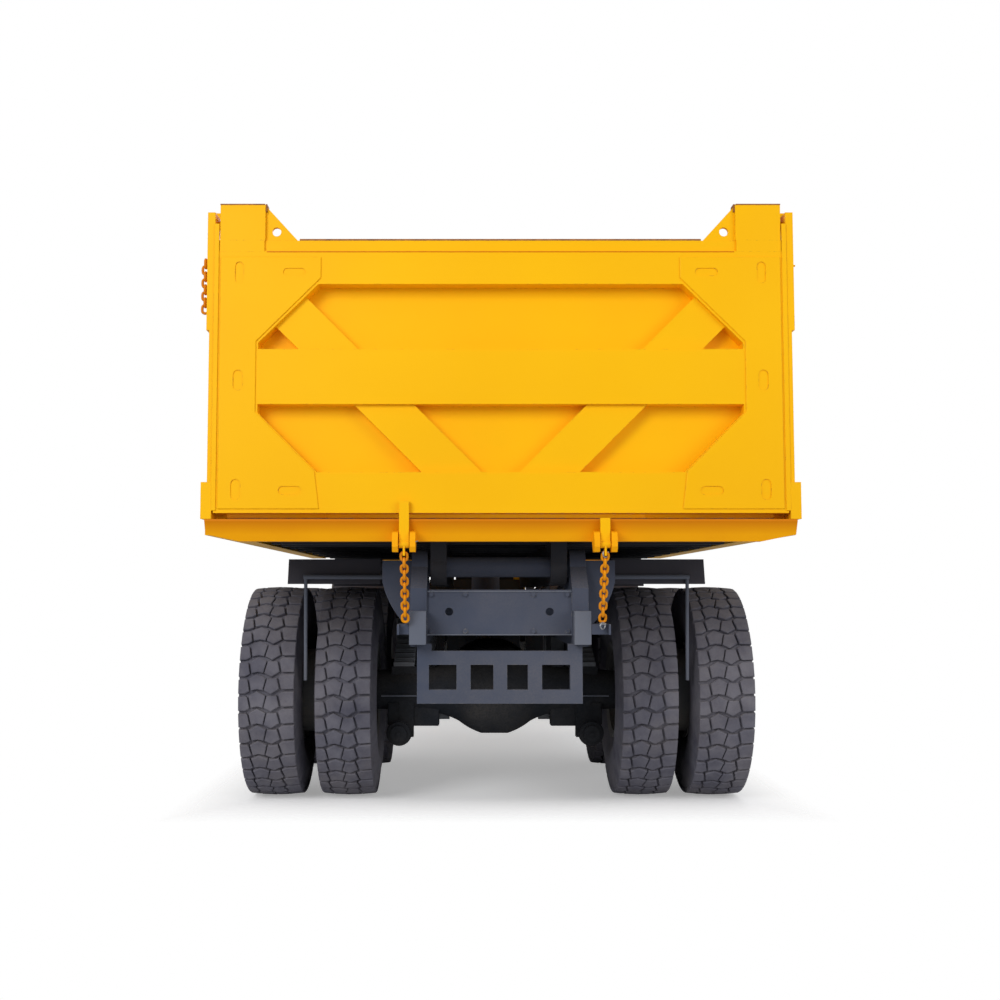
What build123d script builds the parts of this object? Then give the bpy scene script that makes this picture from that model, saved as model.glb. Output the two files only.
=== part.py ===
"""Wide-body mining dump truck, 6x4, with a front hoist, a top-hung tailgate and a cab set to the left.

Frame: +Y is forward, +X is to the right, +Z is up. The origin is on the ground under the middle of the
truck's length. Millimetres.
"""

import os
from math import cos, radians, sin

from build123d import *

os.makedirs("parts", exist_ok=True)

SIDES = (("left", -1), ("right", 1))

# Stations along the truck, from the tailgate's outer face to the bumper
GATE_FACE_Y = -4580
REAR_AXLE_Y = -2730
MIDDLE_AXLE_Y = -1130
FRONT_AXLE_Y = 2770
BUMPER_FACE_Y = 4650
RUNNING_GAP = 10  # between pieces that move past each other
PIN_GAP = 1.5  # between a pin or spindle and its bore, on the radius

# Tyre 16.00R25 and its rim
TYRE_R = 746.5
TYRE_WIDTH = 430
TREAD_WIDTH = 375
TYRE_CROWN_DROP = 12
BEAD_R = 320
RIM_FLANGE_R = 346
RIM_WIDTH = 330
RIM_WALL = 26
DUAL_SPACING = 515
REAR_TRACK_HALF = 1295
FRONT_TRACK_HALF = 1330
HUB_R = 185
HUB_BORE_R = 82
HUB_REACH = 250
BRAKE_DRUM_R = 238

# Chassis rails
RAIL_OUTER_X = 548
RAIL_FLANGE = 100
RAIL_BOTTOM_Z = 1120
RAIL_TOP_Z = 1470
RAIL_REAR_Y = -4200
RAIL_FRONT_Y = 4300
CROSS_PLATE = 18
CROSS_FLANGE = 90
CROSS_BOTTOM_Z = 1190
CROSS_HOLE_R = 25
CROSS_HOLE_X = 310
CROSS_HOLE_Z = 1335

# Bed hinge at the tail of the rails
HINGE_FORWARD = 250
HINGE_RISE = 145
HINGE_TUBE_R = 65
HINGE_BRACKET_R = 112
TAIL_BLOCK_REACH = 180
TAIL_BLOCK_TOP_Z = 1340
TAIL_BLOCK_BOTTOM_Z = 1140
GUSSET_OUTER_X = 735

# Underrun guard
GUARD_HALF = 505
GUARD_TOP_Z = 1097
GUARD_BOTTOM_Z = 778
GUARD_DEPTH = 60
GUARD_RIM = 84
GUARD_POST = 88

# Rear bogie: axles, leaf packs, trunnion and torque rods
AXLE_ARM_R = 150
BOWL_R = 313
SPRING_IN_X = 580
SPRING_WIDTH = 150
LEAF = 30
LEAVES = 9
LEAF_STEP = 75
SPRING_BOTTOM_Z = 930
TRUNNION_Z = 610
TRUNNION_R = 55
ROD_X = 370
ROD_EYE_Y = 200
ROD_EYE_DROP = 190

# Engine, gearbox and shafts
ENGINE_HALF = 330
ENGINE_Y = (2350, 3880)
ENGINE_BOTTOM_Z = 980
ENGINE_TOP_Z = 1700
GEARBOX_Y = (1800, 2345)
SHAFT_R = 58

# Front axle
FRONT_BEAM_Z = 600
FRONT_BEAM_HALF_Y = 75
FIST_EYE_Z = 745
FIST_EYE_HEIGHT = 150
FIST_GAP = 5
FIST_LOW_Z = 590
FIST_HIGH_Z = 900
KNUCKLE_R = 78

# Mudguards and tanks
GUARD_PLATE = 8
MUDGUARD_TOP_Z = 1680
MUDGUARD_INNER_X = 790
MUDGUARD_OUTER_X = 1420
TANK_Y = (60, 1420)

# Bed
BED_HALF = 1700
BED_FLOOR_Z = 1900
FLOOR_PLATE = 16
WALL_PLATE = 14
WALL_INSET = 60
BED_FRONT_Y = 830
FRONT_WALL_LEAN = 420
FRONT_WALL_KNEE_DROP = 410
BED_TOP_Z = 3560
CANOPY_RISE = 400
CANOPY_FRONT_Y = 3950
CANOPY_DROP = 90
RIB_DEPTH = 119
RIB_INSET = 235
RIB_WIDTH = 90
RIB_PITCH = 430
BEAM_HEIGHT = 129
BEAM_SLOPE = 60
BEAM_EDGE = 24
POST_PROUD = 55
POST_DEPTH = 145
POST_STEP = 17
POST_STEP_Z = 3014
POST_STRIP_DROP = 45
SIDE_RAIL_PROUD = 73
SIDE_RAIL_LIFT = 41
SIDE_RAIL_RISE = 219
TOP_RAIL_HEIGHT = 180
STAKE_WIDTH = 110
STAKE_PITCH = 560
SILL_INNER_X = 330
SILL_WIDTH = 100
SILL_DEPTH = 265
SIDE_HOOK_REACH = 60
SIDE_HOOK_DROP = 105
SIDE_HOOK_R = 6

# Tailgate, hung from the post tops
GATE_FLOOR_GAP = 21
GATE_RISE = 1
GATE_DEPTH = 125
GATE_SKIN = 14
GATE_LIP = 67
LIP_SETBACK = 14
GATE_BRACE_RECESS = 28
GATE_EAR_RISE = 214
GATE_EAR_WIDTH = 270
GATE_EAR_INSET = 20
GATE_GUSSET_REACH = 195
GATE_PIVOT_FORWARD = 180
GATE_PIVOT_DROP = 75
GATE_PIN_R = 28
LIFT_HOLE_R = 27
LIFT_HOLE_INSET = 66
LIFT_HOLE_RISE = 55
BAR_BOTTOM_RISE = 243
BAR_MID_LOW_RISE = 648
BAR_MID_HIGH_RISE = 979
BAR_TOP_DROP = 268
WINDOW_INSET = 255
WINDOW_CUT = 355
BRACE_WIDTH = 253

# Tailgate hooks and their chains
HOOK_X = {"left": -570, "right": 612}
HOOK_WIDTH = 58
HOOK_THICK = 26
HOOK_PIVOT_BEHIND = 18
HOOK_PIVOT_DROP = 150
HOOK_BOSS_R = 22
HOOK_PIN_R = 10
HOOK_TOP_Z = {"left": 1990, "right": 1890}
HOOK_EAR_THICK = 34
EAR_GAP = 5
HOOK_EAR_REACH = 47
HOOK_EAR_DROP = 45
TAIL_EYE_DROP = 47
TAIL_EYE_R = 11
LINK_WIRE = 14
LINK_WIDTH = 54
LINK_LENGTH = 69
LINK_PITCH = 40
CHAIN_LINKS = 11
CHAIN_LEAN = 24.7
CHAIN_FOOT_BEHIND = 228
CHAIN_FOOT_Z = 1263
SIDE_CHAIN_LINKS = 8

# Front hoist: a pin in the chassis, a pin on the front wall and three stages between
HOIST_BASE_Y = 1550
HOIST_BASE_Z = 1300
HOIST_EYE_Z = 3230
BARREL_R = 150
HOIST_STAGE_RADII = (122, 96, 70)
HOIST_PIN_R = 38
CARRIER_HALF = 120
CARRIER_BOTTOM_Z = 1090
CARRIER_TOP_Z = 1190
CHEEK_X = 90
CHEEK_PLATE = 40

STAGE_GAP = 4
HOIST_EYE_R = 72
BARREL_TOP_Z = 2900
STAGE_SHOW = 50

# Steering
KINGPIN_X = 1030
KINGPIN_R = 38
STEER_ARM_REACH = 300
TIE_ROD_R = 32

# Cab
CAB_LEFT_X = -1700
CAB_RIGHT_X = -280
CAB_REAR_Y = 2250
CAB_FRONT_Y = 4180
CAB_FLOOR_Z = 1720
CAB_ROOF_Z = 3340
CAB_WALL = 50
GLASS = 8
WINDOW_SILL_Z = 2480
WINDOW_HEAD_Z = 3180
SCREEN_RAKE = 170
DOOR_REAR_Y = 2700
DOOR_FRONT_Y = 3780
DOOR_BOTTOM_Z = 1790
DOOR_TOP_Z = 3240
CAB_MOUNT_X = (-1000, -420)
LADDER_WIDTH = 320
LADDER_BOTTOM_Z = 780
LADDER_STEPS = 3
LADDER_PITCH = 290
DOOR_PIN_R = 6
DOOR_BARREL_R = 12
DOOR_HINGES_Z = (1950, 3080)
DOOR_NOTCH_REACH = 23

# Right-hand deck, radiator housing and front end
DECK_Z = 2450
SLATS = 11
FENDER_Z = 1600
DECK_PLATE = 8
DECK_RIGHT_X = 1720
HOUSING_LEFT_X = -240
HOUSING_RIGHT_X = 1120
HOUSING_REAR_Y = 2500
HOUSING_FRONT_Y = 4380
HOUSING_BOTTOM_Z = 1520
BUMPER_HALF = 1720
BUMPER_DEPTH = 300
BUMPER_BOTTOM_Z = 700
BUMPER_TOP_Z = 1400
RAIL_TUBE_R = 19
HANDRAIL_Z = 3450

# Values that follow from the ones above
HINGE_Y = RAIL_REAR_Y + HINGE_FORWARD
HINGE_Z = RAIL_TOP_Z + HINGE_RISE
BED_WALL_X = BED_HALF - WALL_INSET
RIB_END_X = BED_HALF - RIB_INSET
POST_OUTER_X = BED_HALF + POST_PROUD
SIDE_RAIL_X = BED_HALF + SIDE_RAIL_PROUD
SIDE_HOOK_TIP_X = POST_OUTER_X + SIDE_HOOK_REACH
SIDE_HOOK_Z = BED_TOP_Z - SIDE_HOOK_DROP
FRONT_WALL_KNEE_Z = BED_TOP_Z - FRONT_WALL_KNEE_DROP
FRONT_WALL_TOP_Z = BED_TOP_Z + CANOPY_RISE
GATE_BOTTOM_Z = BED_FLOOR_Z + GATE_FLOOR_GAP
GATE_TOP_Z = BED_TOP_Z + GATE_RISE
GATE_EAR_TOP_Z = GATE_TOP_Z + GATE_EAR_RISE
GATE_EAR_OUTER_X = BED_HALF - GATE_EAR_INSET
GATE_EAR_INNER_X = GATE_EAR_OUTER_X - GATE_EAR_WIDTH
GATE_GUSSET_X = GATE_EAR_INNER_X - GATE_GUSSET_REACH
GATE_PIVOT_Y = GATE_FACE_Y + GATE_PIVOT_FORWARD
GATE_PIVOT_Z = GATE_EAR_TOP_Z - GATE_PIVOT_DROP
POST_STRIP_TOP_Z = GATE_EAR_TOP_Z - POST_STRIP_DROP
LIFT_HOLE_X = GATE_EAR_INNER_X - LIFT_HOLE_INSET
LIFT_HOLE_Z = GATE_TOP_Z + LIFT_HOLE_RISE
BAR_BOTTOM_Z = GATE_BOTTOM_Z + BAR_BOTTOM_RISE
BAR_MID_LOW_Z = GATE_BOTTOM_Z + BAR_MID_LOW_RISE
BAR_MID_HIGH_Z = GATE_BOTTOM_Z + BAR_MID_HIGH_RISE
BAR_TOP_Z = GATE_TOP_Z - BAR_TOP_DROP
WINDOW_HALF = BED_HALF - WINDOW_INSET
AXLE_Z = TYRE_R
BEAM_FACE_Y = GATE_FACE_Y - 5
POST_REAR_Y = GATE_FACE_Y + GATE_DEPTH + RUNNING_GAP
FLOOR_BOTTOM_Z = BED_FLOOR_Z - FLOOR_PLATE
RIB_BOTTOM_Z = FLOOR_BOTTOM_Z - RIB_DEPTH
SILL_BOTTOM_Z = RIB_BOTTOM_Z - SILL_DEPTH
BEAM_TOP_Z = FLOOR_BOTTOM_Z + 1
BEAM_BOTTOM_Z = BEAM_TOP_Z - BEAM_HEIGHT
SIDE_RAIL_BOTTOM_Z = BEAM_BOTTOM_Z + SIDE_RAIL_LIFT
SIDE_RAIL_TOP_Z = BEAM_TOP_Z + SIDE_RAIL_RISE
HOOK_PIVOT_Y = BEAM_FACE_Y - HOOK_PIVOT_BEHIND
HOOK_PIVOT_Z = BEAM_TOP_Z - HOOK_PIVOT_DROP
HOOK_EAR_REAR_Y = HOOK_PIVOT_Y - HOOK_EAR_REACH
HOOK_EAR_BOTTOM_Z = HOOK_PIVOT_Z - HOOK_EAR_DROP
CHAIN_FOOT_Y = RAIL_REAR_Y - CHAIN_FOOT_BEHIND
HOIST_EYE_Y = HOIST_BASE_Y
FRONT_WALL_Y = BED_FRONT_Y + FRONT_WALL_LEAN
TRUNNION_Y = (REAR_AXLE_Y + MIDDLE_AXLE_Y) / 2
SPINDLE_R = HUB_BORE_R - PIN_GAP
HOIST_EYE_HALF = CHEEK_X - RUNNING_GAP
BARREL_FOOT_Z = HOIST_BASE_Z + 130
CHEEK_OUT_X = CHEEK_X + CHEEK_PLATE
DOOR_HINGE_X = CAB_LEFT_X + DOOR_BARREL_R
DOOR_HINGE_Y = DOOR_FRONT_Y - RUNNING_GAP - DOOR_BARREL_R


def block(x, y, z, mode=Mode.ADD):
    """A box between a low and a high value on each axis."""
    middle = ((x[0] + x[1]) / 2, (y[0] + y[1]) / 2, (z[0] + z[1]) / 2)
    with Locations(middle):
        Box(x[1] - x[0], y[1] - y[0], z[1] - z[0], mode=mode)


def both(side, near, far):
    """The X range from near to far on one side of the truck, low value first."""
    return tuple(sorted((side * near, side * far)))


def bar(start, end, radius, mode=Mode.ADD):
    """A round bar between two points."""
    line = Vector(*end) - Vector(*start)
    place = Plane(origin=(Vector(*start) + Vector(*end)) / 2, z_dir=line.normalized())
    with Locations(place.location):
        Cylinder(radius, line.length, mode=mode)


def side_plate(x, outline, mode=Mode.ADD):
    """A plate of (y, z) corners, standing between two X values."""
    with BuildSketch(Plane.YZ.offset(x[0])) as face:
        with BuildLine():
            Polyline(*outline, close=True)
        make_face()
    extrude(face.sketch, amount=x[1] - x[0], mode=mode)


def save(piece, name):
    piece.part.label = name
    export_step(piece.part, f"parts/{name}.step")


# Chassis rails, boxed from end to end
rail_inner_x = RAIL_OUTER_X - RAIL_FLANGE
with BuildPart() as chassis_rails:
    for name, side in SIDES:
        block(
            both(side, rail_inner_x, RAIL_OUTER_X),
            (RAIL_REAR_Y, RAIL_FRONT_Y),
            (RAIL_BOTTOM_Z, RAIL_TOP_Z),
        )
save(chassis_rails, "chassis_rails")

# Channel cross members between the rails, and the hoist's carrier: a deep box with two cheeks and a pin
cross_members = (  # y, low z, high z
    (HINGE_Y + 380, 1180, 1430),
    (TRUNNION_Y, 1150, 1450),
    (MIDDLE_AXLE_Y + 900, 1180, 1430),
    (HOIST_BASE_Y - 330, 1150, 1400),
    (FRONT_AXLE_Y + 1300, 1150, 1400),
)
with BuildPart() as cross_frame:
    for y, low, high in cross_members:
        block((-rail_inner_x, rail_inner_x), (y - CROSS_PLATE, y), (low, high))
        for z in (low, high - CROSS_PLATE):
            block((-rail_inner_x, rail_inner_x), (y - CROSS_PLATE, y + CROSS_FLANGE), (z, z + CROSS_PLATE))
    block(
        (-rail_inner_x, rail_inner_x),
        (HOIST_BASE_Y - CARRIER_HALF, HOIST_BASE_Y + CARRIER_HALF),
        (CARRIER_BOTTOM_Z, CARRIER_TOP_Z),
    )
    for name, side in SIDES:
        block(
            both(side, CHEEK_X, CHEEK_OUT_X),
            (HOIST_BASE_Y - 90, HOIST_BASE_Y + 90),
            (CARRIER_TOP_Z, HOIST_BASE_Z + 70),
        )
    bar((-CHEEK_OUT_X, HOIST_BASE_Y, HOIST_BASE_Z), (CHEEK_OUT_X, HOIST_BASE_Y, HOIST_BASE_Z), HOIST_PIN_R)
save(cross_frame, "cross_frame")

# Tail of the chassis: end channel, hinge brackets and tube, gussets, and tail blocks with the chain forks
with BuildPart() as chassis_tail:
    end_y = (RAIL_REAR_Y, RAIL_REAR_Y + CROSS_PLATE)
    block((-rail_inner_x, rail_inner_x), end_y, (CROSS_BOTTOM_Z, RAIL_TOP_Z))
    for z in (CROSS_BOTTOM_Z, RAIL_TOP_Z - CROSS_PLATE):
        block((-rail_inner_x, rail_inner_x), (end_y[0], end_y[1] + CROSS_FLANGE), (z, z + CROSS_PLATE))
    for name, side in SIDES:
        # Block under the bracket, reaching back past the rail's end
        block(
            both(side, rail_inner_x, RAIL_OUTER_X),
            (RAIL_REAR_Y - TAIL_BLOCK_REACH, RAIL_REAR_Y),
            (TAIL_BLOCK_BOTTOM_Z, TAIL_BLOCK_TOP_Z),
        )
        # Bracket on the rail's top and end, rounded about the pin
        with BuildSketch(Plane.YZ.offset(both(side, rail_inner_x, RAIL_OUTER_X)[0])):
            with Locations((HINGE_Y, HINGE_Z)):
                Circle(HINGE_BRACKET_R)
            with BuildLine():
                Polyline(
                    (HINGE_Y - HINGE_BRACKET_R, HINGE_Z),
                    (RAIL_REAR_Y - 20, RAIL_TOP_Z + 10),
                    (RAIL_REAR_Y - 20, TAIL_BLOCK_TOP_Z - 1),
                    (RAIL_REAR_Y, TAIL_BLOCK_TOP_Z - 1),
                    (RAIL_REAR_Y, RAIL_TOP_Z),
                    (HINGE_Y + 420, RAIL_TOP_Z),
                    (HINGE_Y + HINGE_BRACKET_R, HINGE_Z),
                    close=True,
                )
            make_face()
        extrude(amount=RAIL_FLANGE)
        # Outer gusset behind the chain, a curved plate across the truck
        with BuildSketch(Plane.XZ.offset(-(HINGE_Y - 60))):
            with BuildLine():
                Polyline(
                    (side * (RAIL_OUTER_X + 40), RAIL_BOTTOM_Z + 130),
                    (side * RAIL_OUTER_X, RAIL_BOTTOM_Z + 130),
                    (side * RAIL_OUTER_X, RAIL_TOP_Z),
                    (side * (RAIL_OUTER_X - 10), RAIL_TOP_Z),
                    (side * (RAIL_OUTER_X - 10), HINGE_Z + 40),
                    (side * GUSSET_OUTER_X, HINGE_Z + 40),
                    (side * GUSSET_OUTER_X, HINGE_Z - 95),
                )
                ThreePointArc(
                    (side * GUSSET_OUTER_X, HINGE_Z - 95),
                    (side * (GUSSET_OUTER_X - 35), HINGE_Z - 200),
                    (side * (RAIL_OUTER_X + 40), RAIL_BOTTOM_Z + 130),
                )
            make_face()
        extrude(amount=CROSS_PLATE)
        # Fork that the hook's chain ends in, open below so that the chain can drop out
        fork_x = side * HOOK_X[name] + LINK_WIDTH / 2 + RUNNING_GAP
        fork_z = (CHAIN_FOOT_Z - 62, CHAIN_FOOT_Z)
        block(both(side, RAIL_OUTER_X - 1, fork_x + 12), (CHAIN_FOOT_Y + 52, RAIL_REAR_Y - 2), fork_z)
        block(both(side, fork_x, fork_x + 12), (CHAIN_FOOT_Y, CHAIN_FOOT_Y + 53), fork_z)
        bar(
            (side * CROSS_HOLE_X, RAIL_REAR_Y - 30, CROSS_HOLE_Z),
            (side * CROSS_HOLE_X, RAIL_REAR_Y + 40, CROSS_HOLE_Z),
            CROSS_HOLE_R,
            Mode.SUBTRACT,
        )
    bar((-RAIL_OUTER_X, HINGE_Y, HINGE_Z), (RAIL_OUTER_X, HINGE_Y, HINGE_Z), HINGE_TUBE_R)
save(chassis_tail, "chassis_tail")

# Underrun guard: a pierced plate hung from the tail blocks
guard_rear_y = RAIL_REAR_Y - 60
guard_windows = ((-433, -264), (-178, -39), (45, 172), (258, 430))  # low x, high x
with BuildPart() as underrun_guard:
    guard_y = (guard_rear_y, guard_rear_y + GUARD_DEPTH)
    block((-GUARD_HALF, GUARD_HALF), guard_y, (GUARD_BOTTOM_Z, GUARD_TOP_Z))
    for low, high in guard_windows:
        block(
            (low, high),
            (guard_rear_y - 1, guard_rear_y + GUARD_DEPTH + 1),
            (GUARD_BOTTOM_Z + GUARD_RIM, GUARD_TOP_Z - GUARD_RIM),
            Mode.SUBTRACT,
        )
    for name, side in SIDES:
        block(
            both(side, GUARD_HALF - GUARD_POST, GUARD_HALF),
            (guard_rear_y, guard_rear_y + GUARD_DEPTH),
            (GUARD_TOP_Z - 1, TAIL_BLOCK_BOTTOM_Z),
        )
save(underrun_guard, "underrun_guard")

# Rear bogie: two banjo axles, inverted leaf packs on a trunnion, and torque rods
hub_inner_x = REAR_TRACK_HALF - HUB_REACH
with BuildPart() as drive_axles:
    for y in (REAR_AXLE_Y, MIDDLE_AXLE_Y):
        centre = Plane(origin=(0, y, AXLE_Z), x_dir=(1, 0, 0), z_dir=(0, -1, 0))
        with BuildSketch(centre):
            with BuildLine():
                Polyline((0, 0), (0, BOWL_R), (95, BOWL_R))
                ThreePointArc((95, BOWL_R), (190, 272), (260, 225))
                ThreePointArc((260, 225), (340, 190), (430, AXLE_ARM_R + 15))
                Polyline(
                    (430, AXLE_ARM_R + 15),
                    (hub_inner_x - 30, AXLE_ARM_R - 20),
                    (hub_inner_x - 30, SPINDLE_R),
                    (hub_inner_x + 190, SPINDLE_R),
                    (hub_inner_x + 190, 0),
                    (0, 0),
                )
            make_face()
            mirror(about=Plane.YZ)
        revolve(axis=Axis((0, y, AXLE_Z), (1, 0, 0)))
        bar((0, y - 235, AXLE_Z), (0, y + 290, AXLE_Z), 165)
        bar((0, y + 290, AXLE_Z), (0, y + 350, AXLE_Z), 85)
        for name, side in SIDES:
            block(
                both(side, SPRING_IN_X - 15, SPRING_IN_X + SPRING_WIDTH + 15),
                (y - 95, y + 95),
                (AXLE_Z, SPRING_BOTTOM_Z - 12),
            )
            block(both(side, 585, 690), (y - 130, y - 40), (AXLE_Z - 330, AXLE_Z))
            toward = 1 if y == REAR_AXLE_Y else -1
            side_plate(
                both(side, ROD_X + 42, ROD_X + 66),
                (
                    (y - toward * 20, AXLE_Z - 80),
                    (y + toward * (ROD_EYE_Y - 60), AXLE_Z - ROD_EYE_DROP - 45),
                    (y + toward * (ROD_EYE_Y + 45), AXLE_Z - ROD_EYE_DROP - 45),
                    (y + toward * (ROD_EYE_Y + 45), AXLE_Z - ROD_EYE_DROP + 45),
                ),
            )
save(drive_axles, "drive_axles")

with BuildPart() as rear_suspension:
    for name, side in SIDES:
        x = both(side, SPRING_IN_X, SPRING_IN_X + SPRING_WIDTH)
        for n in range(LEAVES):
            half = (MIDDLE_AXLE_Y - REAR_AXLE_Y) / 2 + 110 - n * LEAF_STEP
            low = SPRING_BOTTOM_Z - 10 + n * LEAF
            block(x, (TRUNNION_Y - half, TRUNNION_Y + half), (low, low + LEAF - 1 + (n < LEAVES - 1)))
        spring_top = SPRING_BOTTOM_Z - 10 + LEAVES * LEAF
        cap_y = (TRUNNION_Y - 190, TRUNNION_Y + 190)
        block((x[0] - 12, x[1] + 12), cap_y, (spring_top - 1, spring_top + 45))
        for y in (TRUNNION_Y - 150, TRUNNION_Y + 150):
            for post in (x[0] - 8, x[1] + 8):
                bar((post, y, 800), (post, y, spring_top + 60), 14)
        side_plate(
            (x[0] - 12, x[1] + 12),
            (
                (TRUNNION_Y - 190, SPRING_BOTTOM_Z - 9),
                (TRUNNION_Y + 190, SPRING_BOTTOM_Z - 9),
                (TRUNNION_Y + 190, SPRING_BOTTOM_Z - 60),
                (TRUNNION_Y + 90, TRUNNION_Z - 70),
                (TRUNNION_Y - 90, TRUNNION_Z - 70),
                (TRUNNION_Y - 190, SPRING_BOTTOM_Z - 60),
            ),
        )
        # Trunnion bracket down from the rail
        side_plate(
            both(side, RAIL_OUTER_X - RAIL_FLANGE, RAIL_OUTER_X - 1),
            (
                (TRUNNION_Y - 330, RAIL_BOTTOM_Z),
                (TRUNNION_Y + 330, RAIL_BOTTOM_Z),
                (TRUNNION_Y + 190, TRUNNION_Z - 70),
                (TRUNNION_Y - 190, TRUNNION_Z - 70),
            ),
        )
    trunnion_end = SPRING_IN_X + SPRING_WIDTH + 40
    bar((-trunnion_end, TRUNNION_Y, TRUNNION_Z), (trunnion_end, TRUNNION_Y, TRUNNION_Z), TRUNNION_R)
save(rear_suspension, "rear_suspension")

with BuildPart() as torque_rods:
    for y, toward in ((REAR_AXLE_Y, 1), (MIDDLE_AXLE_Y, -1)):
        for side in (-1, 1):
            start = (side * ROD_X, y + toward * ROD_EYE_Y, AXLE_Z - ROD_EYE_DROP)
            end = (side * ROD_X, TRUNNION_Y - toward * 130, TRUNNION_Z)
            bar(start, end, 27)
            bar((side * (ROD_X - 40), *start[1:]), (side * (ROD_X + 40), *start[1:]), 45)
            bar((side * (ROD_X - 40), *end[1:]), (side * rail_inner_x, *end[1:]), 45)
save(torque_rods, "torque_rods")

# Drive line: gearbox behind the engine, and the shafts to both drive axles
with BuildPart() as engine_block:
    block((-ENGINE_HALF, ENGINE_HALF), ENGINE_Y, (ENGINE_BOTTOM_Z, ENGINE_TOP_Z))
save(engine_block, "engine_block")

with BuildPart() as drive_line:
    block((-220, 220), GEARBOX_Y, (860, 1300))
    bar((0, GEARBOX_Y[0] + 10, 980), (0, MIDDLE_AXLE_Y + 356, AXLE_Z), SHAFT_R)
    bar((0, MIDDLE_AXLE_Y - 314, AXLE_Z), (0, REAR_AXLE_Y + 352, AXLE_Z), SHAFT_R - 8)
    for y in (MIDDLE_AXLE_Y - 350, REAR_AXLE_Y + 388):
        bar((0, y - 36, AXLE_Z), (0, y + 36, AXLE_Z), 86)
save(drive_line, "drive_line")

# Front axle: a dropped beam under two leaf packs, with a forked fist for each kingpin
with BuildPart() as front_axle:
    with BuildSketch(Plane.XZ.offset(-(FRONT_AXLE_Y + FRONT_BEAM_HALF_Y))):
        with BuildLine():
            Polyline(
                (0, FRONT_BEAM_Z - 75),
                (600, FRONT_BEAM_Z - 75),
                (KINGPIN_X - 120, FIST_EYE_Z - FIST_EYE_HEIGHT / 2),
                (KINGPIN_X, FIST_EYE_Z - FIST_EYE_HEIGHT / 2),
                (KINGPIN_X, FIST_EYE_Z + FIST_EYE_HEIGHT / 2),
                (KINGPIN_X - 130, FIST_EYE_Z + FIST_EYE_HEIGHT / 2),
                (600, FRONT_BEAM_Z + 75),
                (0, FRONT_BEAM_Z + 75),
                (0, FRONT_BEAM_Z - 75),
            )
        make_face()
        mirror(about=Plane.YZ)
    extrude(amount=2 * FRONT_BEAM_HALF_Y)
    for name, side in SIDES:
        with Locations((side * KINGPIN_X, FRONT_AXLE_Y, FIST_EYE_Z)):
            Cylinder(KNUCKLE_R, FIST_EYE_HEIGHT)
            Cylinder(KINGPIN_R, FIST_EYE_HEIGHT + 2, mode=Mode.SUBTRACT)
        x = both(side, RAIL_OUTER_X - RAIL_FLANGE, RAIL_OUTER_X)
        for n in range(6):
            half = 820 - n * 105
            low = FRONT_BEAM_Z + 74 + (6 - n) * 26
            block(x, (FRONT_AXLE_Y - half, FRONT_AXLE_Y + half), (low, low + 26))
        block(x, (FRONT_AXLE_Y - 110, FRONT_AXLE_Y + 110), (FRONT_BEAM_Z + 50, FRONT_BEAM_Z + 105))
        for end in (-1, 1):
            hanger_y = FRONT_AXLE_Y + end * 790
            block(x, (hanger_y - 45, hanger_y + 45), (FRONT_BEAM_Z + 220, RAIL_BOTTOM_Z))
save(front_axle, "front_axle")

tie_rod_y = FRONT_AXLE_Y - STEER_ARM_REACH
tie_end_x = KINGPIN_X
for name, side in SIDES:
    with BuildPart() as knuckle:
        eye_half = FIST_EYE_HEIGHT / 2 + FIST_GAP
        for low, high in ((FIST_LOW_Z, FIST_EYE_Z - eye_half), (FIST_EYE_Z + eye_half, FIST_HIGH_Z)):
            with Locations((side * KINGPIN_X, FRONT_AXLE_Y, (low + high) / 2)):
                Cylinder(KNUCKLE_R, high - low)
            block(
                both(side, KINGPIN_X, KINGPIN_X + 130),
                (FRONT_AXLE_Y - KNUCKLE_R, FRONT_AXLE_Y + KNUCKLE_R),
                (low, high),
            )
        block(
            both(side, KINGPIN_X + KNUCKLE_R + 8, KINGPIN_X + 130),
            (FRONT_AXLE_Y - KNUCKLE_R, FRONT_AXLE_Y + KNUCKLE_R),
            (FIST_LOW_Z, FIST_HIGH_Z),
        )
        bar(
            (side * KINGPIN_X, FRONT_AXLE_Y, FIST_LOW_Z),
            (side * KINGPIN_X, FRONT_AXLE_Y, FIST_HIGH_Z),
            KINGPIN_R - PIN_GAP,
        )
        bar(
            (side * (KINGPIN_X + 100), FRONT_AXLE_Y, AXLE_Z),
            (side * (FRONT_TRACK_HALF + 60), FRONT_AXLE_Y, AXLE_Z),
            SPINDLE_R,
        )
        # Steering arm to the tie rod
        block(
            both(side, tie_end_x - 40, KINGPIN_X + 40),
            (tie_rod_y, FRONT_AXLE_Y - 40),
            (FIST_LOW_Z + 2, FIST_LOW_Z + 52),
        )
        with Locations((side * tie_end_x, tie_rod_y, FIST_LOW_Z + 27)):
            Cylinder(52, 50)
    save(knuckle, f"{name}_knuckle")

with BuildPart() as tie_rod:
    low_z = FIST_LOW_Z - RUNNING_GAP - 44
    bar((-tie_end_x, tie_rod_y, low_z), (tie_end_x, tie_rod_y, low_z), TIE_ROD_R)
    for name, side in SIDES:
        with Locations((side * tie_end_x, tie_rod_y, low_z)):
            Cylinder(46, 80)
save(tie_rod, "tie_rod")


def wheel_plane(y):
    """The plane across an axle, with the radius upwards."""
    return Plane(origin=(0, y, AXLE_Z), x_dir=(1, 0, 0), z_dir=(0, -1, 0))


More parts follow.
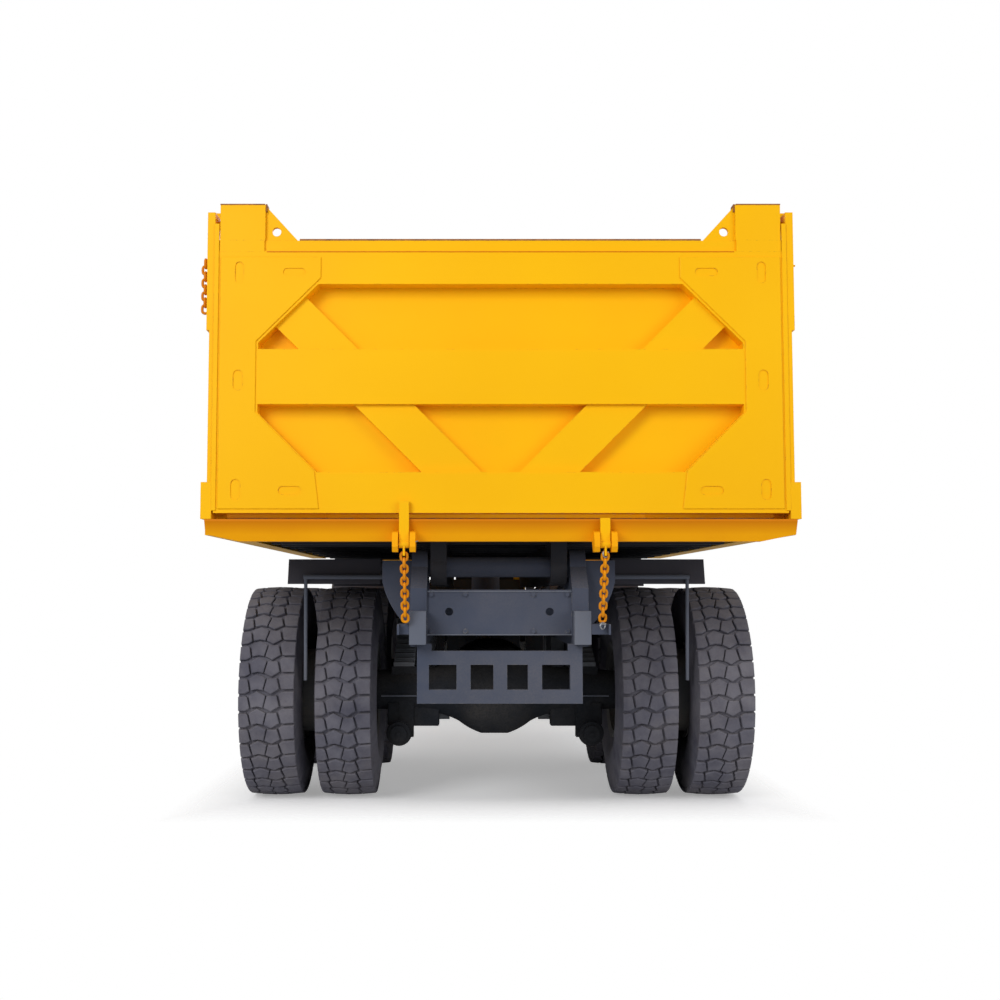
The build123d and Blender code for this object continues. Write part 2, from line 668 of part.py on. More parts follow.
def tyre_face(y, centre_x):
    """Section of one tyre on an axle, from the bead to the crown."""
    half_tread = TREAD_WIDTH / 2
    half_rim = RIM_WIDTH / 2
    bulge_r = (TYRE_R + BEAD_R) / 2 - 10
    foot = (half_rim, bulge_r - 130)
    shoulder = (half_tread, TYRE_R - 45)
    crown = (half_tread - 8, TYRE_R - TYRE_CROWN_DROP)
    with BuildSketch(wheel_plane(y)) as face:
        with BuildLine():
            Polyline((-foot[0], foot[1]), (-half_rim + 12, BEAD_R), (half_rim - 12, BEAD_R), foot)
            ThreePointArc(foot, (TYRE_WIDTH / 2, bulge_r), shoulder)
            Line(shoulder, crown)
            ThreePointArc(crown, (0, TYRE_R), (-crown[0], crown[1]))
            Line((-crown[0], crown[1]), (-shoulder[0], shoulder[1]))
            ThreePointArc((-shoulder[0], shoulder[1]), (-TYRE_WIDTH / 2, bulge_r), (-foot[0], foot[1]))
        make_face()
    return face.sketch.moved(Location((centre_x, 0, 0)))


def rim_ring(y, centre_x):
    """Section of a rim on an axle: two flanges, a well and a wall of even thickness."""
    half = RIM_WIDTH / 2
    seat = BEAD_R - 0.4
    with BuildSketch(wheel_plane(y)) as face:
        with BuildLine():
            Polyline(
                (-half - 22, RIM_FLANGE_R),
                (-half - 6, RIM_FLANGE_R),
                (-half + 4, seat),
                (half - 4, seat),
                (half + 6, RIM_FLANGE_R),
                (half + 22, RIM_FLANGE_R),
                (half + 8, seat - RIM_WALL),
                (-half - 8, seat - RIM_WALL),
                close=True,
            )
        make_face()
    return face.sketch.moved(Location((centre_x, 0, 0)))


# Twin wheels of the two drive axles: two tyres, two rims back to back, drum and planetary hub
for axle, axle_y in (("middle", MIDDLE_AXLE_Y), ("rear", REAR_AXLE_Y)):
    for name, side in SIDES:
        turn = Axis((0, axle_y, AXLE_Z), (1, 0, 0))
        tyre_middles = [side * (REAR_TRACK_HALF + way * DUAL_SPACING / 2) for way in (-1, 1)]
        with BuildPart() as tyres:
            for middle in tyre_middles:
                revolve(tyre_face(axle_y, middle), axis=turn)
        save(tyres, f"{axle}_{name}_tyres")
        with BuildPart() as rims:
            for middle in tyre_middles:
                revolve(rim_ring(axle_y, middle), axis=turn)
            with BuildSketch(wheel_plane(axle_y)):
                with BuildLine():
                    steps = (-HUB_REACH, -HUB_REACH + 170, -35, 35, 60, 330, 365)
                    x = [side * (REAR_TRACK_HALF + step) for step in steps]
                    Polyline(
                        (x[0], HUB_BORE_R),
                        (x[0], BRAKE_DRUM_R),
                        (x[1], BRAKE_DRUM_R),
                        (x[1], HUB_R),
                        (x[2], HUB_R),
                        (x[2], BEAD_R - RIM_WALL),
                        (x[3], BEAD_R - RIM_WALL),
                        (x[3], HUB_R),
                        (x[5], HUB_R - 20),
                        (x[6], HUB_R - 60),
                        (x[6], 0),
                        (x[4], 0),
                        (x[4], HUB_BORE_R),
                        close=True,
                    )
                make_face()
                with BuildLine():
                    Polyline(
                        (x[2] - side * 110, BEAD_R - RIM_WALL - 12),
                        (x[2] - side * 110, BEAD_R - RIM_WALL + 2),
                        (x[3] + side * 110, BEAD_R - RIM_WALL + 2),
                        (x[3] + side * 110, BEAD_R - RIM_WALL - 12),
                        close=True,
                    )
                make_face()
            revolve(axis=turn)
        save(rims, f"{axle}_{name}_rims")

# Single front wheels, their discs set outwards
for name, side in SIDES:
    turn = Axis((0, FRONT_AXLE_Y, AXLE_Z), (1, 0, 0))
    middle = side * FRONT_TRACK_HALF
    with BuildPart() as tyre:
        revolve(tyre_face(FRONT_AXLE_Y, middle), axis=turn)
    save(tyre, f"front_{name}_tyre")
    with BuildPart() as rim:
        revolve(rim_ring(FRONT_AXLE_Y, middle), axis=turn)
        with BuildSketch(wheel_plane(FRONT_AXLE_Y)):
            with BuildLine():
                x = [middle + side * step for step in (-130, 40, 60, 105, 130, 215, 240)]
                Polyline(
                    (x[0], HUB_BORE_R),
                    (x[0], BRAKE_DRUM_R),
                    (x[1], BRAKE_DRUM_R - 15),
                    (x[2], HUB_R + 20),
                    (x[3], BEAD_R - RIM_WALL),
                    (x[4], BEAD_R - RIM_WALL),
                    (x[3], HUB_R - 10),
                    (x[5], HUB_R - 55),
                    (x[6], HUB_R - 85),
                    (x[6], 0),
                    (x[2] + side * 20, 0),
                    (x[2] + side * 20, HUB_BORE_R),
                    close=True,
                )
            make_face()
        revolve(axis=turn)
    save(rim, f"front_{name}_rim")

# Mudguards over the drive wheels: bent plates on brackets from the rails
with BuildPart() as mudguards:
    for name, side in SIDES:
        x = both(side, MUDGUARD_INNER_X, MUDGUARD_OUTER_X)
        block(x, (REAR_AXLE_Y - 640, MIDDLE_AXLE_Y + 640), (MUDGUARD_TOP_Z - GUARD_PLATE, MUDGUARD_TOP_Z))
        for y, toward in ((REAR_AXLE_Y - 640, -1), (MIDDLE_AXLE_Y + 640, 1)):
            side_plate(
                x,
                (
                    (y, MUDGUARD_TOP_Z),
                    (y, MUDGUARD_TOP_Z - GUARD_PLATE),
                    (y + toward * 40, MUDGUARD_TOP_Z - 170),
                    (y + toward * 49, MUDGUARD_TOP_Z - 168),
                ),
            )
        for y in (REAR_AXLE_Y - 560, TRUNNION_Y, MIDDLE_AXLE_Y + 560):
            foot_x = both(side, RAIL_OUTER_X, RAIL_OUTER_X + 24)
            block(foot_x, (y - 45, y + 45), (RAIL_TOP_Z - 110, RAIL_TOP_Z - 10))
            bar(
                (side * (RAIL_OUTER_X + 20), y, RAIL_TOP_Z - 60),
                (side * MUDGUARD_INNER_X, y, MUDGUARD_TOP_Z - 40),
                24,
            )
            bar(
                (side * (MUDGUARD_INNER_X - 20), y, MUDGUARD_TOP_Z - 30),
                (side * (MUDGUARD_OUTER_X - 60), y, MUDGUARD_TOP_Z - 30),
                24,
            )
save(mudguards, "mudguards")

# Tanks hung outside the rails ahead of the drive wheels
with BuildPart() as fuel_tank:
    block((RAIL_OUTER_X + 60, 1400), TANK_Y, (720, 1380))
    fillet(fuel_tank.edges().filter_by(Axis.Y), 90)
    for y in (TANK_Y[0] + 250, TANK_Y[1] - 250):
        block((RAIL_OUTER_X, RAIL_OUTER_X + 65), (y - 40, y + 40), (RAIL_BOTTOM_Z, RAIL_TOP_Z - 60))
save(fuel_tank, "fuel_tank")

with BuildPart() as air_tanks:
    for z in (880, 1230):
        bar((-880, TANK_Y[0], z), (-880, TANK_Y[1], z), 150)
    block((-1400, -1060), (TANK_Y[0] + 200, TANK_Y[1] - 200), (780, 1330))
    block((-1060, -RAIL_OUTER_X), (TANK_Y[0] + 300, TANK_Y[0] + 380), (1060, 1130))
    block((-1060, -RAIL_OUTER_X), (TANK_Y[1] - 380, TANK_Y[1] - 300), (1060, 1130))
save(air_tanks, "air_tanks")

# Front end: bumper, radiator housing, its grille and the lamps
with BuildPart() as front_bumper:
    block(
        (-BUMPER_HALF, BUMPER_HALF),
        (BUMPER_FACE_Y - BUMPER_DEPTH, BUMPER_FACE_Y),
        (BUMPER_BOTTOM_Z, BUMPER_TOP_Z),
    )
    chamfer(front_bumper.edges().filter_by(Axis.Z).group_by(Axis.Y)[-1], 130)
    chamfer(front_bumper.edges().group_by(Axis.Z)[0].group_by(Axis.Y)[-1], 70)
    for name, side in SIDES:
        block(
            both(side, 1000, 1450),
            (BUMPER_FACE_Y - 90, BUMPER_FACE_Y + 1),
            (980, 1230),
            Mode.SUBTRACT,
        )
    block((-820, 820), (BUMPER_FACE_Y - 60, BUMPER_FACE_Y + 1), (960, 1330), Mode.SUBTRACT)
    for name, side in SIDES:
        block(
            both(side, rail_inner_x, RAIL_OUTER_X),
            (RAIL_FRONT_Y, BUMPER_FACE_Y - BUMPER_DEPTH + 1),
            (RAIL_BOTTOM_Z, BUMPER_TOP_Z),
        )
        # Tow eye in the lower edge
        bar((side * 620, BUMPER_FACE_Y - 80, 820), (side * 620, BUMPER_FACE_Y + 1, 820), 36, Mode.SUBTRACT)
save(front_bumper, "front_bumper")

with BuildPart() as headlamps:
    for name, side in SIDES:
        for x in (1105, 1335):
            bar(
                (side * x, BUMPER_FACE_Y - 89.5, 1105),
                (side * x, BUMPER_FACE_Y - 25, 1105),
                92,
            )
save(headlamps, "headlamps")

with BuildPart() as radiator_housing:
    side_plate(
        (HOUSING_LEFT_X, HOUSING_RIGHT_X),
        (
            (HOUSING_REAR_Y, HOUSING_BOTTOM_Z + 230),
            (ENGINE_Y[1] + 40, HOUSING_BOTTOM_Z + 230),
            (ENGINE_Y[1] + 40, HOUSING_BOTTOM_Z),
            (HOUSING_FRONT_Y, HOUSING_BOTTOM_Z),
            (HOUSING_FRONT_Y, DECK_Z - 120),
            (HOUSING_FRONT_Y - 120, DECK_Z - 2),
            (HOUSING_REAR_Y, DECK_Z - 2),
        ),
    )
    block(
        (HOUSING_LEFT_X + 110, HOUSING_RIGHT_X - 110),
        (HOUSING_FRONT_Y - 70, HOUSING_FRONT_Y + 1),
        (HOUSING_BOTTOM_Z + 80, DECK_Z - 190),
        Mode.SUBTRACT,
    )
    for z in (1950, 2020, 2090, 2160, 2230):
        block((HOUSING_RIGHT_X - 15, HOUSING_RIGHT_X + 1), (2750, 3350), (z, z + 34), Mode.SUBTRACT)
    for y in (HOUSING_FRONT_Y - 440, HOUSING_FRONT_Y - 180):
        block((rail_inner_x + 10, RAIL_OUTER_X - 10), (y, y + 80), (RAIL_TOP_Z, HOUSING_BOTTOM_Z + 1))
save(radiator_housing, "radiator_housing")

with BuildPart() as radiator_grille:
    inner = (HOUSING_LEFT_X + 111, HOUSING_RIGHT_X - 111)
    low, high = HOUSING_BOTTOM_Z + 81, DECK_Z - 191
    y = (HOUSING_FRONT_Y - 45, HOUSING_FRONT_Y - 5)
    for x in (inner[0], (inner[0] + inner[1]) / 2 - 20, inner[1] - 40):
        block((x, x + 40), y, (low, high))
    for n in range(SLATS):
        z = low + (high - low - 26) * n / (SLATS - 1)
        block(inner, y, (z, z + 26))
save(radiator_grille, "radiator_grille")

# Deck beside the cab with its handrails, and front mudguards under cab and deck
with BuildPart() as deck:
    block((HOUSING_LEFT_X, DECK_RIGHT_X), (CAB_REAR_Y, HOUSING_FRONT_Y), (DECK_Z, DECK_Z + DECK_PLATE))
    block((DECK_RIGHT_X - 6, DECK_RIGHT_X), (CAB_REAR_Y, HOUSING_FRONT_Y), (DECK_Z - 90, DECK_Z + 90))
    block(
        (HOUSING_RIGHT_X + 30, DECK_RIGHT_X),
        (HOUSING_FRONT_Y - 8, HOUSING_FRONT_Y),
        (FENDER_Z + 30, DECK_Z + 90),
    )
    for y in (CAB_REAR_Y + 150, HOUSING_FRONT_Y - 200):
        block((HOUSING_RIGHT_X + 30, DECK_RIGHT_X - 60), (y - 30, y + 30), (DECK_Z - 70, DECK_Z))
        block((DECK_RIGHT_X - 120, DECK_RIGHT_X - 60), (y - 30, y + 30), (FENDER_Z + 8, DECK_Z - 69))
    # Tube rails along the outer and front edges
    rail_x = DECK_RIGHT_X - 40
    rail_y = HOUSING_FRONT_Y - 40
    rail_posts = ((rail_x, CAB_REAR_Y + 60), (rail_x, 3300), (rail_x, rail_y), (780, rail_y), (-120, rail_y))
    for x, y in rail_posts:
        bar((x, y, DECK_Z), (x, y, HANDRAIL_Z), RAIL_TUBE_R)
    for z in (HANDRAIL_Z - RAIL_TUBE_R, DECK_Z + 520):
        for end in (rail_posts[0], rail_posts[4]):
            bar((*rail_posts[2], z), (*end, z), RAIL_TUBE_R - 2)
save(deck, "deck")

with BuildPart() as front_mudguards:
    for name, side in SIDES:
        x = both(side, 720, 1700)
        block(x, (FRONT_AXLE_Y - 740, FRONT_AXLE_Y + 780), (FENDER_Z, FENDER_Z + 8))
        side_plate(
            x,
            (
                (FRONT_AXLE_Y - 740, FENDER_Z + 8),
                (FRONT_AXLE_Y - 740, FENDER_Z),
                (FRONT_AXLE_Y - 960, FENDER_Z - 330),
                (FRONT_AXLE_Y - 966, FENDER_Z - 326),
            ),
        )
        side_plate(
            x,
            (
                (FRONT_AXLE_Y + 780, FENDER_Z + 8),
                (FRONT_AXLE_Y + 780, FENDER_Z),
                (FRONT_AXLE_Y + 1040, FENDER_Z - 190),
                (FRONT_AXLE_Y + 1046, FENDER_Z - 186),
            ),
        )
        for y in (FRONT_AXLE_Y - 560, FRONT_AXLE_Y + 640):
            foot_x = both(side, RAIL_OUTER_X, RAIL_OUTER_X + 24)
            block(foot_x, (y - 45, y + 45), (RAIL_TOP_Z - 100, RAIL_TOP_Z))
            bar((side * (RAIL_OUTER_X + 20), y, RAIL_TOP_Z - 50), (side * 760, y, FENDER_Z - 18), 22)
            bar((side * 740, y, FENDER_Z - 18), (side * 1600, y, FENDER_Z - 18), 22)
save(front_mudguards, "front_mudguards")

# Ladder to the cab door, behind the bumper on the left
with BuildPart() as ladder:
    for y in (CAB_FRONT_Y - LADDER_WIDTH, CAB_FRONT_Y):
        block((CAB_LEFT_X, CAB_LEFT_X + 50), (y - 20, y + 20), (LADDER_BOTTOM_Z, CAB_FLOOR_Z))
        block((CAB_LEFT_X + 49, CAB_LEFT_X + 400), (y - 20, y + 20), (CAB_FLOOR_Z - 80, CAB_FLOOR_Z))
    for n in range(LADDER_STEPS):
        z = LADDER_BOTTOM_Z + 40 + n * LADDER_PITCH
        block((CAB_LEFT_X, CAB_LEFT_X + 140), (CAB_FRONT_Y - LADDER_WIDTH - 20, CAB_FRONT_Y + 20), (z, z + 30))
save(ladder, "ladder")

# Cab: a pressed shell on the left, hollow, with its door opening and windows cut
cab_outline = (
    (CAB_REAR_Y, CAB_FLOOR_Z),
    (CAB_FRONT_Y, CAB_FLOOR_Z),
    (CAB_FRONT_Y, WINDOW_SILL_Z - 80),
    (CAB_FRONT_Y - SCREEN_RAKE, CAB_ROOF_Z - 60),
    (CAB_FRONT_Y - SCREEN_RAKE - 60, CAB_ROOF_Z),
    (CAB_REAR_Y + 40, CAB_ROOF_Z),
    (CAB_REAR_Y, CAB_ROOF_Z - 60),
)
cab_void = (
    (CAB_REAR_Y + CAB_WALL, CAB_FLOOR_Z + CAB_WALL),
    (CAB_FRONT_Y - CAB_WALL, CAB_FLOOR_Z + CAB_WALL),
    (CAB_FRONT_Y - CAB_WALL, WINDOW_SILL_Z - 85),
    (CAB_FRONT_Y - SCREEN_RAKE - CAB_WALL, CAB_ROOF_Z - CAB_WALL - 30),
    (CAB_FRONT_Y - SCREEN_RAKE - CAB_WALL - 30, CAB_ROOF_Z - CAB_WALL),
    (CAB_REAR_Y + CAB_WALL, CAB_ROOF_Z - CAB_WALL),
)
screen_x = (CAB_LEFT_X + 90, CAB_RIGHT_X - 90)
side_window_y = (CAB_REAR_Y + 170, CAB_FRONT_Y - 320)
rear_window_x = (CAB_LEFT_X + 220, CAB_RIGHT_X - 220)
with BuildPart() as cab_shell:
    side_plate((CAB_LEFT_X, CAB_RIGHT_X), cab_outline)
    side_plate((CAB_LEFT_X + CAB_WALL, CAB_RIGHT_X - CAB_WALL), cab_void, Mode.SUBTRACT)
    block(
        (CAB_LEFT_X - 1, CAB_LEFT_X + CAB_WALL + 1),
        (DOOR_REAR_Y, DOOR_FRONT_Y),
        (DOOR_BOTTOM_Z, DOOR_TOP_Z),
        Mode.SUBTRACT,
    )
    block(
        (CAB_RIGHT_X - CAB_WALL - 1, CAB_RIGHT_X + 1),
        side_window_y,
        (WINDOW_SILL_Z, WINDOW_HEAD_Z),
        Mode.SUBTRACT,
    )
    window_z = (WINDOW_SILL_Z, WINDOW_HEAD_Z)
    block(rear_window_x, (CAB_REAR_Y - 1, CAB_REAR_Y + CAB_WALL + 1), window_z, Mode.SUBTRACT)
    block(screen_x, (CAB_FRONT_Y - 400, CAB_FRONT_Y + 1), window_z, Mode.SUBTRACT)
    for y in (CAB_REAR_Y + 200, CAB_FRONT_Y - 300):
        block(CAB_MOUNT_X, (y - 60, y + 60), (CAB_FLOOR_Z - 60, CAB_FLOOR_Z))
        block((-RAIL_OUTER_X, -rail_inner_x), (y - 60, y + 60), (RAIL_TOP_Z, CAB_FLOOR_Z - 59))
    # Hinge leaves reach from the door pillar to a bored barrel
    for z in DOOR_HINGES_Z:
        block(
            (DOOR_HINGE_X - 8, DOOR_HINGE_X + 8),
            (DOOR_HINGE_Y, DOOR_FRONT_Y + 1),
            (z - 25, z + 25),
        )
        with Locations((DOOR_HINGE_X, DOOR_HINGE_Y, z)):
            Cylinder(DOOR_BARREL_R, 50)
            Cylinder(DOOR_PIN_R + PIN_GAP, 52, mode=Mode.SUBTRACT)
save(cab_shell, "cab_shell")

screen_tilt = SCREEN_RAKE / (CAB_ROOF_Z - 60 - (WINDOW_SILL_Z - 80))


def screen_y(z):
    """The windscreen's outer face at a height."""
    return CAB_FRONT_Y - screen_tilt * (z - (WINDOW_SILL_Z - 80))


with BuildPart() as cab_glass:
    block(
        (CAB_RIGHT_X - 30, CAB_RIGHT_X - 30 + GLASS),
        (side_window_y[0] + 0.5, side_window_y[1] - 0.5),
        (WINDOW_SILL_Z + 0.5, WINDOW_HEAD_Z - 0.5),
    )
    block(
        (rear_window_x[0] + 0.5, rear_window_x[1] - 0.5),
        (CAB_REAR_Y + 20, CAB_REAR_Y + 20 + GLASS),
        (WINDOW_SILL_Z + 0.5, WINDOW_HEAD_Z - 0.5),
    )
    low, high = WINDOW_SILL_Z + 0.5, WINDOW_HEAD_Z - 0.5
    side_plate(
        (screen_x[0] + 0.5, screen_x[1] - 0.5),
        (
            (screen_y(low) - 20 - GLASS, low),
            (screen_y(low) - 20, low),
            (screen_y(high) - 20, high),
            (screen_y(high) - 20 - GLASS, high),
        ),
    )
save(cab_glass, "cab_glass")

# Driver's seat, dashboard and steering wheel, seen through the glass
with BuildPart() as cab_interior:
    floor = CAB_FLOOR_Z + CAB_WALL + 0.5
    block((-1250, -730), (2650, 3150), (floor, floor + 330))
    block((-1270, -710), (2640, 3170), (floor + 330, floor + 450))
    side_plate(
        (-1260, -720),
        ((2640, floor + 440), (2770, floor + 440), (2660, floor + 1080), (2560, floor + 1080)),
    )
    dash_x = (CAB_LEFT_X + CAB_WALL + 1, CAB_RIGHT_X - CAB_WALL - 1)
    block(dash_x, (3860, CAB_FRONT_Y - CAB_WALL - 1), (floor, 2380))
    bar((-990, 3870, 2330), (-990, 3560, 2520), 24)
    with Locations(Plane(origin=(-990, 3560, 2520), z_dir=(0, -310, 190)).location):
        Torus(220, 18)
        Box(40, 420, 20)
save(cab_interior, "cab_interior")

door_y = (DOOR_REAR_Y + RUNNING_GAP, DOOR_FRONT_Y - RUNNING_GAP)
door_z = (DOOR_BOTTOM_Z + RUNNING_GAP, DOOR_TOP_Z - RUNNING_GAP)
door_window_y = (door_y[0] + 90, door_y[1] - 90)
door_window_z = (WINDOW_SILL_Z - 60, door_z[1] - 90)
with BuildPart() as cab_door:
    block((CAB_LEFT_X, CAB_LEFT_X + CAB_WALL), door_y, door_z)
    block((CAB_LEFT_X - 1, CAB_LEFT_X + CAB_WALL + 1), door_window_y, door_window_z, Mode.SUBTRACT)
    block((CAB_LEFT_X - 1, CAB_LEFT_X + 18), (door_y[0] + 60, door_y[0] + 200), (2240, 2290), Mode.SUBTRACT)
    # Notches for the hinge leaves, each bridged by a pin
    for z in DOOR_HINGES_Z:
        block(
            (CAB_LEFT_X - 1, CAB_LEFT_X + CAB_WALL + 1),
            (DOOR_HINGE_Y - DOOR_NOTCH_REACH, door_y[1] + 1),
            (z - 25 - RUNNING_GAP, z + 25 + RUNNING_GAP),
            Mode.SUBTRACT,
        )
        with Locations((DOOR_HINGE_X, DOOR_HINGE_Y, z)):
            Cylinder(DOOR_PIN_R, 90)
save(cab_door, "cab_door")

with BuildPart() as door_glass:
    block(
        (CAB_LEFT_X + 20, CAB_LEFT_X + 20 + GLASS),
        (door_window_y[0] + 0.5, door_window_y[1] - 0.5),
        (door_window_z[0] + 0.5, door_window_z[1] - 0.5),
    )
save(door_glass, "door_glass")

with BuildPart() as mirrors:
    for side, y in ((-1, CAB_FRONT_Y + 90), (1, HOUSING_FRONT_Y + 40)):
        block(both(side, 1560, 1760), (y, y + 50), (2720, 3120))
    fillet(mirrors.edges().filter_by(Axis.Z), 20)
    bar((-1655, screen_y(3020) + 6, 3020), (-1655, CAB_FRONT_Y + 92, 3020), 13)
    rail_post_y = HOUSING_FRONT_Y - 40 + RAIL_TUBE_R
    bar((DECK_RIGHT_X - 40, rail_post_y, 2900), (DECK_RIGHT_X - 40, HOUSING_FRONT_Y + 42, 2900), 13)
save(mirrors, "mirrors")

with BuildPart() as air_cleaner:
    bar((900, CAB_REAR_Y - 190, 1950), (900, CAB_REAR_Y - 190, 2620), 170)
    bar((900, CAB_REAR_Y - 190, 2620), (900, CAB_REAR_Y - 190, 2760), 110)
    block((RAIL_OUTER_X - 90, 900), (CAB_REAR_Y - 260, CAB_REAR_Y - 120), (1860, 1950))
    block((RAIL_OUTER_X - 90, RAIL_OUTER_X), (CAB_REAR_Y - 260, CAB_REAR_Y - 120), (RAIL_TOP_Z, 1861))
save(air_cleaner, "air_cleaner")

# Bed floor plate
with BuildPart() as bed_floor:
    block((-BED_WALL_X, BED_WALL_X), (POST_REAR_Y, BED_FRONT_Y), (FLOOR_BOTTOM_Z, BED_FLOOR_Z))
save(bed_floor, "bed_floor")

# Subframe under the floor: cross ribs on two sills, whose tails are pierced for the hinge tube
ribs = int((BED_FRONT_Y - GATE_FACE_Y - 700) / RIB_PITCH)
sill_x = (SILL_INNER_X, SILL_INNER_X + SILL_WIDTH)
with BuildPart() as bed_subframe:
    for n in range(ribs + 1):
        y = GATE_FACE_Y + 300 + n * RIB_PITCH
        block((-RIB_END_X, RIB_END_X), (y, y + RIB_WIDTH), (RIB_BOTTOM_Z, FLOOR_BOTTOM_Z))
    for name, side in SIDES:
        x = both(side, *sill_x)
        with BuildSketch(Plane.YZ.offset(x[0])):
            with BuildLine():
                Polyline(
                    (HINGE_Y - 105, HINGE_Z + 20),
                    (HINGE_Y - 105, FLOOR_BOTTOM_Z),
                    (BED_FRONT_Y - 60, FLOOR_BOTTOM_Z),
                    (BED_FRONT_Y - 60, SILL_BOTTOM_Z + 120),
                    (BED_FRONT_Y - 300, SILL_BOTTOM_Z),
                    (HINGE_Y + 60, SILL_BOTTOM_Z),
                    close=True,
                )
            make_face()
            with Locations((HINGE_Y, HINGE_Z)):
                Circle(HINGE_TUBE_R + 45)
                Circle(HINGE_TUBE_R + PIN_GAP, mode=Mode.SUBTRACT)
        extrude(amount=SILL_WIDTH)
save(bed_subframe, "bed_subframe")

# Tail of the bed: the beam under the gate and its chamfered ends
with BuildPart() as bed_tail_beam:
    side_plate(
        (-SIDE_RAIL_X + BEAM_EDGE, SIDE_RAIL_X - BEAM_EDGE),
        (
            (BEAM_FACE_Y, BEAM_TOP_Z),
            (BEAM_FACE_Y, BEAM_TOP_Z - 12),
            (BEAM_FACE_Y + BEAM_SLOPE, BEAM_BOTTOM_Z),
            (POST_REAR_Y, BEAM_BOTTOM_Z),
            (POST_REAR_Y, BEAM_TOP_Z),
        ),
    )
    # The ends rise to the side rails
    for name, side in SIDES:
        with BuildSketch(Plane.XZ.offset(-BEAM_FACE_Y + 1)):
            with BuildLine():
                Polyline(
                    (side * (SIDE_RAIL_X - BEAM_EDGE + 1), SIDE_RAIL_BOTTOM_Z),
                    (side * (SIDE_RAIL_X - 224), BEAM_BOTTOM_Z - 1),
                    (side * (SIDE_RAIL_X - BEAM_EDGE + 1), BEAM_BOTTOM_Z - 1),
                    close=True,
                )
            make_face()
        extrude(amount=-(POST_REAR_Y - BEAM_FACE_Y + 3), mode=Mode.SUBTRACT)
    ear_out = HOOK_WIDTH / 2 + EAR_GAP + HOOK_EAR_THICK
    for name, side in SIDES:
        for way in (-1, 1):
            near = HOOK_X[name] + way * (HOOK_WIDTH / 2 + EAR_GAP)
            far = HOOK_X[name] + way * ear_out
            side_plate(
                tuple(sorted((near, far))),
                (
                    (BEAM_FACE_Y + BEAM_SLOPE + 30, BEAM_BOTTOM_Z + 1),
                    (BEAM_FACE_Y + 1, BEAM_TOP_Z - 70),
                    (HOOK_EAR_REAR_Y + 22, BEAM_TOP_Z - 80),
                    (HOOK_EAR_REAR_Y, HOOK_PIVOT_Z + 25),
                    (HOOK_EAR_REAR_Y, HOOK_PIVOT_Z - 15),
                    (HOOK_EAR_REAR_Y + 20, HOOK_EAR_BOTTOM_Z),
                    (BEAM_FACE_Y + 30, HOOK_EAR_BOTTOM_Z),
                ),
            )
        bar(
            (HOOK_X[name] - ear_out, HOOK_PIVOT_Y, HOOK_PIVOT_Z),
            (HOOK_X[name] + ear_out, HOOK_PIVOT_Y, HOOK_PIVOT_Z),
            HOOK_PIN_R,
        )
save(bed_tail_beam, "bed_tail_beam")

